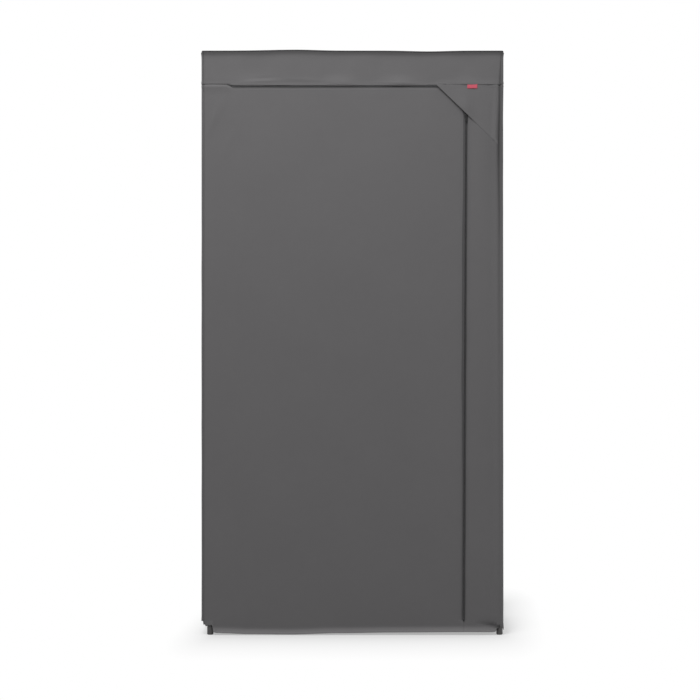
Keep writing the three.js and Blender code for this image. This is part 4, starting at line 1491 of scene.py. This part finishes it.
class WARDROBE_OT_walls(bpy.types.Operator):
    """Makes the side panels and the back panel"""

    bl_idname = "wardrobe.walls"
    bl_label = "Sides and back"

    def execute(self, context):
        for side, rests in SIDE_RESTS.items():
            self.wall(side, rests, *Plan().walls[side])
        return {"FINISHED"}

    def wall(self, side, rests, begin, stop):
        """One wall, loose between its seams and raised over the feet."""
        hem = settings("cover").hem
        top = SEAM + TUCKED
        start, end = begin(0.0) - TUCKED, stop(0.0) + TUCKED
        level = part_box(f"cover_{side}")[0].z
        line = []
        for place, points in zip((start, end), WALL_HEMS[side]):
            line += [(place + s, level if z is LEVEL else z) for s, z in points]

        def low(s):
            return follow(line, s)

        def height(s, z, gaps):
            to_left, to_right, to_low, to_high = gaps
            ends = min(to_left, to_right)
            total = wall_height(s, z, ends) + hem_step(to_low, hem)
            total += WALL_SHARE * (bumps(SEAM_DIP, to_high) + flare(z, low(s), ends))
            if side == "right" and to_left < to_right:
                return total + slack_seam(to_left, z, FLAT_SHARES)
            if side == "left" and to_right < to_left:
                return total + left_seam(to_right, z)
            return total + bumps(SEAM_DIP, ends)

        # Painted light on the hem; on the right wall, painted shade in the front seam's gutter and over the
        # foot.
        def tone(s, z, gaps):
            to_left, to_right, to_low, to_high = gaps
            shade = hem_painted_light(to_low, hem) * step(min(to_left, to_right), *WALL_PALE)
            if side == "right":
                shade += seam_painted_shade(to_left, z)
                shade -= bumps(FOOT_SHADE, to_low) * bell(to_left / FOOT_SHADE_SPREAD)
            return shade

        wide = end - start
        high = top - low((start + end) / 2)
        edges = upright_edges(begin, stop, 0.0, top, low, lambda s: top)
        panel = Panel(f"cloth_{side}", edges, height, tone)
        panel.sew(wide, high, [f"cover_{side}"])
        panel.low_row("_hem", start + WALL_ROW, end - WALL_ROW, low, hem - HEM_STITCH, (start, end))
        sheet(panel.piece, (wide + ALLOWED, high + ALLOWED), rests, panel.rows)


# The header bands
HEADER_ROW = 0.003
HEADER_ENDS = 0.03
RAISED_FROM = (0.235, 0.02)
LEFT_DIP_END = (ZIP_LEFT.x + 0.02, -0.01)
LOOSE_ENDS = 0.05
LOOSE_TOP = 0.03


class WARDROBE_OT_header(bpy.types.Operator):
    """Makes the four header bands above the seam"""

    bl_idname = "wardrobe.header"
    bl_label = "Header bands"

    def execute(self, context):
        for side, (begin, stop) in Plan().walls.items():
            rests = f"top_rail_{side}" if side in ENDS else f"top_side_front_{side}"
            self.band(side, side == "front", rests, begin, stop)
        return {"FINISHED"}

    def band(self, side, front, rests, begin, stop):
        """One band. The front's has puffs, and a lip that hangs over the zip."""
        hem = settings("cover").hem

        def low(s):
            return SEAM - (header_sag(s) if front else 0.0)

        def top(s):
            return HEADER_TOP + PLUMP + (rise(s) if front else 0.0)

        def height(s, z, gaps):
            to_left, to_right, to_low, to_high = gaps
            ends = min(to_left, to_right)
            total = bumps(SEAM_DIP, ends) + bumps(HEADER_EDGE, to_high)
            if not front:
                loose = waves(LOOSE_WAVES, s, z) * step(ends, 0, LOOSE_ENDS) * step(to_high, 0, LOOSE_TOP)
                return total + loose + hem_step(to_low, hem) + WALL_SHARE * bumps(SEAM_DIP, to_low)
            opened = step(s, *OPENED) * step(s, *LIP_END)
            total += header_height(s, z) * step(ends, 0, HEADER_ENDS)
            total += opened * (hem_step(to_low, hem) + bumps(LIP_DIP, to_low))
            total += step(s, *RAISED_FROM) * bumps(LIP_RAISED, to_low)
            return total + (1 - opened) * step(s, *LEFT_DIP_END) * DIP_SHARE * bumps(SEAM_DIP, to_low)

        # Painted shadow under the piping; on the front, painted light on the lip and the puffs, and painted
        # shade at the seams.
        def tone(s, z, gaps):
            to_left, to_right, to_low, to_high = gaps
            shade = bumps(PIPING_SHADE, to_high)
            if front:
                lip = step(s, *OPENED) * step(s, *LIP_END) * bumps(LIP_LIGHT, to_low)
                shade += bumps(PUFFS, s) * bumps(PUFF_LIGHT, z - SEAM) + lip
                shade += seam_painted_shade(to_right, z) + bumps(LEFT_SHADE, to_left)
            return shade + (seam_painted_shade(to_left, z) if side == "right" else 0.0)

        start, end = begin(SEAM), stop(SEAM)
        wide = end - start
        high = HEADER_TOP - SEAM
        edges = upright_edges(begin, stop, SEAM, HEADER_TOP, low, top)
        panel = Panel(f"cloth_header_{side}", edges, height, tone)
        panel.sew(wide, high, [f"header_{side}"])
        up = NEAR_STITCH if front else hem - HEM_STITCH
        panel.low_row("", start + HEADER_ROW, end - HEADER_ROW, lambda s: SEAM, up, (start, end))
        sheet(panel.piece, (wide + ALLOWED, high + ALLOWED), [rests], panel.rows)


# The roof and its piping
ROOF_RESTS = ["top_rail_front", "top_rail_back", "top_side_front_left", "top_side_front_right"]
ROOF_STEP = 0.012
ROOF_OVERLAP = 0.0002
ROOF_SAG = 0.0085
ROOF_LEVEL = (0.024, 0.12)
ROOF_PULLS_FROM = 0.05
ROOF_FINE_FROM = 0.02
ROOF_TUCK = [(0.0, 0.0022, -0.0012)]
BEAD_ARC = (-50, 232, 12)
FLANGE = [(-0.0024, -0.0006), (-0.0024, -0.0036), (-0.0008, -0.0036), (-0.0007, -0.0008)]
PIPING_COUNT = 620
PIPING_FRONT = 0.12
PIPING_SIDE_SHARE = 0.2
PIPING_STEP = 0.0009
PIPING_RIB = 0.00008
PIPING_RIBS = 1100
PIPING_STITCH = (0.0022, -0.0007)


class WARDROBE_OT_roof(bpy.types.Operator):
    """Makes the roof, slack between the rails, and the piping round it"""

    bl_idname = "wardrobe.roof"
    bl_label = "Roof and piping"

    def execute(self, context):
        cover = settings("cover")
        inset = 2 * cover.piping - ROOF_OVERLAP
        corner = cover.corner - inset
        low = Vector((LEFT + inset, FRONT + inset))
        high = Vector((RIGHT - inset, BACK - inset))
        size = high - low

        def height(u, v):
            inward = min(u * size.x, (1 - u) * size.x, v * size.y, (1 - v) * size.y)
            slack = (1 - (2 * u - 1) ** 4) * (1 - (2 * v - 1) ** 4) * step(inward, *ROOF_LEVEL)
            total = PLUMP + rise(low.x + u * size.x) * smooth(1 - 2 * v) - ROOF_SAG * slack
            total += waves(ROOF_WAVES, u, v) * step(inward, 0, ROOF_PULLS_FROM) + bumps(ROOF_TUCK, inward)
            return total + waves(ROOF_FINE_WAVES, u, v) * step(inward, 0, ROOF_FINE_FROM)

        def spot(u, v):
            flat = Vector((u * size.x, v * size.y))
            near = Vector([min(max(flat[k], corner), size[k] - corner) for k in range(2)])
            off = flat - near
            if off.x and off.y:
                off = off.normalized() * max(abs(off.x), abs(off.y))
            inner = Vector((*(low + near + off), ROOF + height(u, v)))
            return inner + UP * cover.thick, inner, (*flat, 0.0)

        columns = lines(size.x, ROOF_STEP, EDGE_LINES, EDGE_LINES)
        rows = lines(size.y, ROOF_STEP, EDGE_LINES, EDGE_LINES)
        roof = dress(shell("cloth_roof", columns, rows, spot, finish("cover_cloth")), ["cover_roof"])
        sheet(roof, (size.x + ALLOWED, size.y + ALLOWED), ROOF_RESTS)
        self.piping(cover)
        return {"FINISHED"}

    def piping(self, cover):
        """A cloth-covered bead with a flange, once round the roof, and its stitches."""
        plan = Plan()
        radius = cover.piping
        bead = [(p.x, p.y) for p in arc((-radius, 0), radius, *BEAD_ARC)]
        bead += [(off, high - radius) for off, high in FLANGE]
        points = []
        places = []
        line = []
        for i in range(PIPING_COUNT + 1):
            s = plan.total * i / PIPING_COUNT
            at, out = plan.at(s)
            front = step(at.y, FRONT + PIPING_FRONT, -PIPING_FRONT) if out.y < PIPING_SIDE_SHARE else 0.0
            z = HEADER_TOP + PLUMP + rise(at.x) * front
            down, inward = PIPING_STITCH
            line.append((Vector((*(at + out * inward), z - down)), Vector((*out, 0))))
            if i == PIPING_COUNT:
                break
            for k, (off, high) in enumerate(bead):
                off += waves(PIPING_WAVES, s, 0.0) + PIPING_RIB * math.sin(s * PIPING_RIBS + k)
                points.append(Vector((*(at + out * off), z + cover.gap + radius + high)))
                places.append((s, k * PIPING_STEP, 0.0))
        faces = flipped(skin(PIPING_COUNT, len(bead), closed=True))
        dress(make("piping_roof", points, faces, finish("piping_cloth"), places), ["roof_piping"])
        dress(stitches("stitches_piping", line))


# The corner gusset
MOUTH_WIDE = 0.070
MOUTH_CLIMB = 0.006
GUSSET_LIFT = 0.0059
GUSSET_BASE = (0.0002, 0.0011)
GUSSET_FADE = (0.366, -0.036)
PUFF_AT = Vector((0.325, 1.541))
GUSSET_PUFF = [(0.0, 0.020, 0.0022)]
TIP_ROOM = 0.0055
GUSSET_HEM = 0.008
GUSSET_SEAM = [(0.004, 0.002, 0.0002)]
GUSSET_LINES = (0.0004, 0.001, 0.0022, 0.0042, 0.0064, 0.0082)
GUSSET_STEPS = (0.006, 0.005)
GUSSET_TIP_SHARE = 0.996
GUSSET_STITCH = 0.0058
GUSSET_ROW_SHARES = (0.02, 0.98)
GUSSET_ROWS = (60, 40)
GUSSET_SEWN = (0.010, 0.004)
GUSSET_FLAT = (0.195, 0.19)
GUSSET_AREA = 0.0186


class WARDROBE_OT_gusset(bpy.types.Operator):
    """Makes the small triangular pocket over the corner where the sliders meet"""

    bl_idname = "wardrobe.gusset"
    bl_label = "Corner gusset"

    def height(self, p):
        """The gusset lies on the front at its far corner and stands off it along its open edge."""
        left, top = GUSSET_LOW.x, GUSSET_HIGH.z
        mouth = Vector((GUSSET_HIGH.x - left, GUSSET_LOW.z - top)).normalized()
        deep = Vector((p.x - left, p.y - top)).dot(Vector((-mouth.y, mouth.x)))
        lift = step(deep, MOUTH_WIDE, -MOUTH_WIDE) * step(p.y, top, -MOUTH_CLIMB)
        fade = step(p.x, *GUSSET_FADE)
        ends = fade * step(p.x, left, TIP_ROOM)
        below = column_height(*p) + slack_seam(front_seam(p.y) - p.x, p.y)
        raised = GUSSET_LIFT + bumps(GUSSET_PUFF, (p - PUFF_AT).length) + waves(GUSSET_WAVES, *p)
        return between(*GUSSET_BASE, fade) + (1 - fade) * below + raised * lift * ends

    def execute(self, context):
        cover = settings("cover")
        top = SEAM - cover.gap
        left = Vector((GUSSET_LOW.x + GUSSET_HIGH.z - top, top))
        low = Vector((GUSSET_HIGH.x, GUSSET_LOW.z))
        far = Vector((GUSSET_HIGH.x, top))
        mouth = low - left
        normal = Vector((-mouth.y, mouth.x)).normalized()

        def spot(u, v):
            """u runs along the open edge, and v from it to the far corner."""
            p = (left + mouth * u).lerp(far, v)
            inset = (p - left).dot(normal)
            ends = min(far.x - p.x, far.y - p.y)
            y = FRONT - self.height(p) - hem_step(inset, GUSSET_HEM) - bumps(GUSSET_SEAM, ends)
            worn = edge_round(min(inset, max(ends, 0.0)), cover.thick)
            return Vector((p.x, y + worn, p.y)), Vector((p.x, y + cover.thick - worn, p.y)), (*p, 0.0)

        columns = lines(mouth.length, GUSSET_STEPS[0], EDGE_LINES[:4], EDGE_LINES[:4])
        rows = [*lines((far - left).dot(normal), GUSSET_STEPS[1], GUSSET_LINES)[:-1], GUSSET_TIP_SHARE]
        piece = dress(shell("cloth_gusset", columns, rows, spot, finish("cover_cloth")), ["corner_gusset"])
        stitch = normal * GUSSET_STITCH
        open_edge = [left + mouth * share + stitch for share in GUSSET_ROW_SHARES]
        along, inward = GUSSET_SEWN
        sewn = [left + Vector((along, -inward)), far - Vector((inward, inward))]
        sewn.append(low + Vector((-inward, along)))
        made = []
        lifted = hem_step(GUSSET_STITCH, GUSSET_HEM)
        kinds = {"mouth": (open_edge, lifted), "edge": (sewn, 0.0)}
        for (kind, (corners, lift)), count in zip(kinds.items(), GUSSET_ROWS):
            spots = [a.lerp(b, k / count) for a, b in zip(corners, corners[1:]) for k in range(count + 1)]
            line = [(Vector((p.x, FRONT - self.height(p) - lift, p.y)), OUTWARD) for p in spots]
            made.append(dress(stitches(f"stitches_gusset_{kind}", line)))
        sheet(piece, GUSSET_FLAT, ["front_column"], made, area=GUSSET_AREA)
        return {"FINISHED"}


# The seam's tab
TAB_STEPS = (0.0022, 0.0016)
TAB_SIDE_LINES = (0.0003, 0.0008, 0.0014)
TAB_END_LINES = (0.0003, 0.0007)
TAB_BOW = [(0.3, 0.35, 0.0005)]
TAB_SELVEDGE = [(0.0008, 0.0004, 0.00008)]
TAB_FLAT = (0.029, 0.014)


class WARDROBE_OT_tab(bpy.types.Operator):
    """Makes the small plain tab in the header's seam"""

    bl_idname = "wardrobe.tab"
    bl_label = "Seam tab"

    def execute(self, context):
        low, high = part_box("seam_tab")
        size = high - low

        def spot(u, v):
            gaps = (u * size.x, (1 - u) * size.x, v * size.z, (1 - v) * size.z)
            worn = edge_round(min(gaps), size.y)
            y = low.y - bumps(TAB_BOW, v) - waves(TAB_WAVES, u, v) - bumps(TAB_SELVEDGE, min(gaps[:2]))
            x, z = low.x + u * size.x, low.z + v * size.z
            return Vector((x, y + worn, z)), Vector((x, y + size.y - worn, z)), (u * size.x, v * size.z, 0.0)

        columns = lines(size.x, TAB_STEPS[0], TAB_SIDE_LINES, TAB_SIDE_LINES)
        rows = lines(size.z, TAB_STEPS[1], TAB_END_LINES, TAB_END_LINES)
        piece = dress(shell("tab_seam", columns, rows, spot, finish("tab_cloth")), ["seam_tab"])
        sheet(piece, TAB_FLAT, ["header_front"])
        return {"FINISHED"}


# The tape's section: how far across from the zip's middle, and how far its two faces stand back
TAPE_SECTION = [
    (0.00002, 0.0, 0.0),
    (0.0020, 0.0, 0.0),
    (0.0030, -0.0003, 0.0),
    (0.0042, -0.0003, 0.0),
    (0.0052, 0.0, 0.0),
]
TAPE_EDGE = (0.0012, 0.00012)
TAPE_PAST = 0.0035
TAPE_COUNT = 560
TAPE_CORD_SHARE = 0.8
TAPE_ALLOWED = 0.002
# A coil's turn: the outline's shares of its size, and its stations from its head or its back
COIL_END = 0.0095
COIL_SHARES = [(-1.0, 0.0), (-0.55, 0.9), (0.55, 0.9), (1.0, 0.0), (0.55, -0.9), (-0.55, -0.9)]
COIL_HEAD = [(-0.00018, 0.55, 0.62), (0.00012, 1.0, 1.0)]
COIL_BACK = [(-0.00025, 0.8, 0.86), (0.00015, 0.45, 0.45)]
COIL_WIDE_SHARE = 0.21
# Each half of the zip: its side, the body it rides on and what it lies on
CHAINS = {"surround": (-1, "root", "front_column"), "door": (1, "door", "door_flap")}


class WARDROBE_OT_zip(bpy.types.Operator):
    """Makes the tapes and the coils"""

    bl_idname = "wardrobe.zip"
    bl_label = "Zip"

    def execute(self, context):
        sizes = settings("zip")
        route = Route()
        for name, (side, body, rests) in CHAINS.items():
            strip = dress(self.tape(name, side, route, sizes), [f"zip_tape_{name}"], body)
            chain = dress(self.coil(name, side, route, sizes), [f"zip_coil_{name}"], body)
            sheet(strip, (sizes.tape + TAPE_ALLOWED, round(route.total, 2)), [rests], [chain])
        return {"FINISHED"}

    def tape(self, name, side, route, sizes):
        """A woven tape with a raised cord beside the coil."""
        cover = settings("cover")
        low = FRONT + cover.thick + cover.gap
        narrow, eased = TAPE_EDGE
        section = [*TAPE_SECTION, (sizes.tape - narrow, 0.0, 0.0), (sizes.tape, eased, -eased)]

        def spot(s, row):
            across, out, back = row
            at = route.beside(s, side * across + route.parting(s, side))
            outer = low + max(out, -cover.gap * TAPE_CORD_SHARE)
            inner = low + sizes.tape_thick + back
            return Vector((at.x, outer, at.y)), Vector((at.x, inner, at.y)), (s, across, 0.0)

        end = route.total + TAPE_PAST
        columns = [between(-TAPE_PAST, end, k / TAPE_COUNT) for k in range(TAPE_COUNT + 1)]
        return shell(f"zip_tape_{name}_woven", columns, section, spot, finish("zip_tape_cloth"), side > 0)

    def coil(self, name, side, route, sizes):
        """The turns of a nylon coil, each a rounded loop whose head reaches past the middle."""
        count = round((route.total - 2 * COIL_END) / sizes.pitch)
        half = sizes.coil_high / 2
        stations = [*COIL_HEAD, *((sizes.coil + across, wide, high) for across, wide, high in COIL_BACK)]
        turn_faces = skin(len(stations), len(COIL_SHARES))
        if side > 0:
            turn_faces = flipped(turn_faces)
        points = []
        faces = []
        places = []
        for n in range(count):
            s = COIL_END + (n + (0.5 if side > 0 else 0.0)) * sizes.pitch
            parted = route.parting(s, side)
            faces += [[len(points) + k for k in face] for face in turn_faces]
            for across, wide, high in stations:
                for a, c in COIL_SHARES:
                    along = s + a * sizes.pitch * COIL_WIDE_SHARE * wide
                    at = route.beside(along, side * across + parted)
                    depth = sizes.proud + (c * high - 1) * half
                    points.append(Vector((at.x, FRONT - depth, at.y)))
                    places.append((along, across, 0.0))
        return make(f"zip_coil_{name}_turns", points, faces, finish("coil_nylon"), places)


# A slider in its own frame: along the zip, toward the door and out of the cloth
BODY_HALF = 0.0085
BODY_ARC_STEPS = (4, 5)
BODY_WIDE = 0.0055
BODY_TAIL = 0.0041
BODY_ROUND = (0.0015, 0.0024)
BODY_CLEAR = 0.0003
BODY_THICK = 0.0010
BODY_EASE = 0.0003
WEDGE = [(0.0045, 0.00055), (0.0083, 0.00045), (0.0083, 0.00285), (0.0045, 0.0012)]
WEDGE_PAST = 0.0004
FLANGES = [(0.0, -0.00265, 0.0140), (-0.0045, 0.00265, 0.0055)]
FLANGE_SIZE = (0.0007, 0.0009)
SLIDER_POST = (0.0013, 0.0044)
SLIDER_CAP = [(0.0022, 0.0040), (0.0026, 0.0042), (0.0025, 0.0045), (0.0020, 0.0047), (0.0010, 0.0048)]
SLIDER_SIDES = (20, 24)
SMALL_EASE = 0.0001
SLIDERS = {"side": (1, 90), "top": (-1, 40)}
# A pull that hangs from its eye
PULL_EYE = 0.0034
PULL_ARC_STEPS = (20, 10)
PULL_HOLE = 0.0016
PULL_WIDE = 0.0028
PULL_WAIST_SHARE = 0.8
PULL_LONG = 0.020
PULL_WAIST = 0.009
PULL_DEPTH = (0.0025, 0.0037)
PULL_PAST = 0.001
GRIPS = (-0.0125, -0.0147, -0.0169)
GRIP_SIZE = Vector((0.0036, 0.0008, 0.0003))
METAL_EASES = {"body": 0.00025, "small": 0.00015}
STOP_SPARED = Vector((0.0002, 0.0004, 0.0002))
STOP_SHARES = (-0.32, 0.0, 0.32)
STOP_ROLL = 0.0007


class WARDROBE_OT_sliders(bpy.types.Operator):
    """Makes the two sliders, their pulls and the stops"""

    bl_idname = "wardrobe.sliders"
    bl_label = "Sliders, pulls and stops"

    def execute(self, context):
        route = Route()
        shapes = self.body(settings("zip"))
        for name, (closing, drop) in SLIDERS.items():
            at, door = route.at(route.park[name])
            along = Vector((door.y, -door.x)) * closing
            place = Matrix(((along.x, 0, along.y), (door.x, 0, door.y), OUTWARD)).transposed().to_4x4()
            place.translation = Vector((at.x, FRONT, at.y))
            solids = moved(shapes, place)
            self.clasp(f"slider_{name}_body", solids, "body", f"zip_slider_{name}", f"slider_{name}")
            self.pull(name, at, drop)
        for name in ("low", "left"):
            self.stop(name)
        return {"FINISHED"}

    def clasp(self, name, solids, ease, node, body="root", cuts=()):
        """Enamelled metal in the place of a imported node."""
        dress(whole(name, solids, cuts, finish("slider_enamel"), METAL_EASES[ease]), [node], body)

    def body(self, sizes):
        """A slider's plates, wedge, flanges, post and cap."""
        low = sizes.proud + BODY_CLEAR
        cover = settings("cover")
        back = -cover.thick - cover.gap - sizes.tape_thick - BODY_CLEAR
        tail, nose = BODY_ROUND
        few, more = BODY_ARC_STEPS
        outline = arc((tail - BODY_HALF, tail - BODY_TAIL), tail, -180, -90, few)
        outline += arc((BODY_HALF - nose, nose - BODY_WIDE), nose, -90, 0, more)
        outline += arc((BODY_HALF - nose, BODY_WIDE - nose), nose, 0, 90, more)
        outline += arc((tail - BODY_HALF, BODY_TAIL - tail), tail, 90, 180, few)
        wedge = [Vector(p) for p in WEDGE]
        radius, tall = SLIDER_POST
        return [
            plate(outline, low, low + BODY_THICK, BODY_EASE),
            plate(outline, back - BODY_THICK, back, BODY_EASE),
            plate(wedge, back - WEDGE_PAST, low + WEDGE_PAST, SMALL_EASE),
            *(brick(Vector((x, y, low)), Vector((long, *FLANGE_SIZE))) for x, y, long in FLANGES),
            rod(radius, low, tall, UP, ORIGIN, SLIDER_SIDES[0], SMALL_EASE),
            turn(SLIDER_CAP, SLIDER_SIDES[1], UP, ORIGIN, closed=False),
        ]

    def pull(self, name, at, drop):
        """A flat pull with an eye, a waist and a raised grip."""
        low, high = PULL_DEPTH
        round_eye, round_end = PULL_ARC_STEPS
        waist = PULL_WIDE * PULL_WAIST_SHARE
        shoulder = math.degrees(math.asin(waist / PULL_EYE))
        outline = arc((0, 0), PULL_EYE, shoulder - 90, 270 - shoulder, round_eye)
        outline += [Vector((-waist, -PULL_EYE)), Vector((-PULL_WIDE, -PULL_WAIST))]
        outline += arc((0, PULL_WIDE - PULL_LONG), PULL_WIDE, 180, 360, round_end)
        outline += [Vector((PULL_WIDE, -PULL_WAIST)), Vector((waist, -PULL_EYE))]
        solids = [plate(outline, low, high, BODY_EASE)]
        solids += [brick(Vector((0, y, high)), GRIP_SIZE) for y in GRIPS]
        cuts = [rod(PULL_HOLE, low - PULL_PAST, high + PULL_PAST, UP, ORIGIN, SLIDER_SIDES[1], SMALL_EASE)]
        place = Matrix.Translation((at.x, FRONT, at.y)) @ Matrix.Rotation(math.pi / 2, 4, "X")
        place = place @ Matrix.Rotation(math.radians(90 - drop), 4, "Z")
        solids, cuts = moved(solids, place), moved(cuts, place)
        self.clasp(f"pull_{name}_tab", solids, "small", f"zip_pull_{name}", f"pull_{name}", cuts)

    def stop(self, name):
        """A crimped stop: a plate whose edges are rolled over the coil."""
        low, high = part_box(f"zip_stop_{name}")
        size = high - low
        at = (low + high) / 2
        solids = [brick(at, size - STOP_SPARED)]
        axis = 2 if size.z > size.x else 0
        for share in STOP_SHARES:
            span = size + Vector((STOP_SPARED.x, 0, STOP_SPARED.z))
            span[axis] = STOP_ROLL
            centre = at.copy()
            centre[axis] += size[axis] * share
            solids.append(brick(centre, span))
        self.clasp(f"stop_{name}_clamp", solids, "small", f"zip_stop_{name}")


# Each lamp: its place, its aim and its size
LAMPS = {
    "key": ((-0.6, -2.1, 3.4), (0.0, -0.2, 1.1), 1.3),
    "side": ((2.7, 0.3, 0.6), (0.4, 0.1, 0.5), 1.6),
    "back": ((0.3, 3.1, 2.6), (0.0, 0.2, 1.0), 2.0),
}
FLOOR_HALF = 30.0
SHADOW_LEAN_SHARE = 0.06
# The shadow across and in depth: its middle, its half size, and how fast it fades past that
SHADOW_WIDE = (0.033, 0.42, 4.0)
SHADOW_DEEP = (0.15, 0.37, 1.0)
SHADOW_POWER = 0.36
FLOOR_WHITE_SHARE = 0.42
WHITE = (1, 1, 1, 1)


class WARDROBE_OT_stage(bpy.types.Operator):
    """Makes the floor, the lights, the even sky and the camera"""

    bl_idname = "wardrobe.stage"
    bl_label = "Stage"

    def execute(self, context):
        stage = settings("stage")
        self.floor(stage)
        self.sky(stage)
        for key, (at, aim, size) in LAMPS.items():
            data = bpy.data.lights.new(key + "_light", "AREA")
            data.shape = "SQUARE"
            data.size = size
            data.energy = getattr(stage, key)
            lamp = linked(key + "_light", data)
            lamp.location = at
            lamp.rotation_mode = "QUATERNION"
            lamp.rotation_quaternion = (Vector(aim) - Vector(at)).to_track_quat("-Z", "Y")
        data = bpy.data.cameras.new("camera")
        data.lens = stage.lens
        camera = linked("camera", data)
        camera.location = (stage.camera_side, FRONT - stage.distance, stage.camera_high)
        camera.rotation_euler = (math.pi / 2, 0, 0)
        context.scene.camera = camera
        context.scene.view_settings.view_transform = "Standard"
        return {"FINISHED"}

    def floor(self, stage):
        """A pale floor that keeps the soft shadow close to the wardrobe and is plain white beyond it."""
        material = bpy.data.materials.new("pale_floor")
        nodes = Nodes(material)
        seen = nodes.seen_rays()

        def beyond(axis, middle, inner, rate):
            """Distance past the wardrobe's footprint along an axis."""
            return (abs(axis - middle) - inner).most(0.0) * rate

        x, y, _ = nodes.parts(nodes.here())
        east = beyond(x - y * SHADOW_LEAN_SHARE, *SHADOW_WIDE)
        north = beyond(y, *SHADOW_DEEP)
        away = (east * east + north * north) ** 0.5
        fade = ((away / stage.spread).least(1.0) ** SHADOW_POWER).most(FLOOR_WHITE_SHARE)
        tone = nodes.mix(seen, stage.floor_bounce, stage.floor_tone)
        cloth = nodes.node("ShaderNodeBsdfDiffuse", {}, {0: tone})[0]
        white = nodes.node("ShaderNodeEmission", {}, {1: seen})[0]
        mixed = nodes.node("ShaderNodeMixShader", {}, {0: fade * seen, 1: cloth, 2: white})[0]
        nodes.node("ShaderNodeOutputMaterial", {}, {0: mixed})
        corners = [(x * FLOOR_HALF, y * FLOOR_HALF, 0) for x, y in ((-1, -1), (1, -1), (1, 1), (-1, 1))]
        make("floor", corners, [[0, 1, 2, 3]], material)

    def sky(self, stage):
        """Even light all round, seen as plain white."""
        world = bpy.data.worlds.new("studio")
        nodes = Nodes(world)
        lit = nodes.node("ShaderNodeBackground", {}, {0: WHITE, 1: stage.sky})[0]
        white = nodes.node("ShaderNodeBackground", {}, {0: WHITE})[0]
        mixed = nodes.node("ShaderNodeMixShader", {}, {0: nodes.seen_rays(), 1: lit, 2: white})[0]
        nodes.node("ShaderNodeOutputWorld", {}, {0: mixed})
        bpy.context.scene.world = world


SETTINGS = {
    "wardrobe_cover": CoverSettings,
    "wardrobe_zip": ZipSettings,
    "wardrobe_frame": FrameSettings,
    "wardrobe_stage": StageSettings,
}
MAKERS = (
    WARDROBE_OT_tubes,
    WARDROBE_OT_joiners,
    WARDROBE_OT_feet,
    WARDROBE_OT_door_panel,
    WARDROBE_OT_front_column,
    WARDROBE_OT_walls,
    WARDROBE_OT_header,
    WARDROBE_OT_roof,
    WARDROBE_OT_gusset,
    WARDROBE_OT_tab,
    WARDROBE_OT_zip,
    WARDROBE_OT_sliders,
    WARDROBE_OT_stage,
)


class WARDROBE_PT_panel(bpy.types.Panel):
    """Lists the wardrobe's makers and settings"""

    bl_idname = "WARDROBE_PT_panel"
    bl_label = "Portable Fabric Wardrobe"
    bl_space_type = "VIEW_3D"
    bl_region_type = "UI"
    bl_category = "Wardrobe"

    def draw(self, context):
        for maker in MAKERS:
            self.layout.operator(maker.bl_idname)
        for name in SETTINGS:
            group = getattr(context.scene, name)
            box = self.layout.box()
            box.label(text=name)
            for key in group.__annotations__:
                box.prop(group, key)


CLASSES = (*SETTINGS.values(), *MAKERS, WARDROBE_PT_panel)


def register():
    for made in CLASSES:
        bpy.utils.register_class(made)
    for name, group in SETTINGS.items():
        setattr(bpy.types.Scene, name, bpy.props.PointerProperty(type=group))


def unregister():
    for name in SETTINGS:
        delattr(bpy.types.Scene, name)
    for made in reversed(CLASSES):
        bpy.utils.unregister_class(made)


def main():
    """Makes every piece."""
    register()
    bpy.ops.wardrobe.tubes()
    bpy.ops.wardrobe.joiners()
    bpy.ops.wardrobe.feet()
    bpy.ops.wardrobe.door_panel()
    bpy.ops.wardrobe.front_column()
    bpy.ops.wardrobe.walls()
    bpy.ops.wardrobe.header()
    bpy.ops.wardrobe.roof()
    bpy.ops.wardrobe.gusset()
    bpy.ops.wardrobe.tab()
    bpy.ops.wardrobe.zip()
    bpy.ops.wardrobe.sliders()
    bpy.ops.wardrobe.stage()


if __name__ == "__main__":
    main()
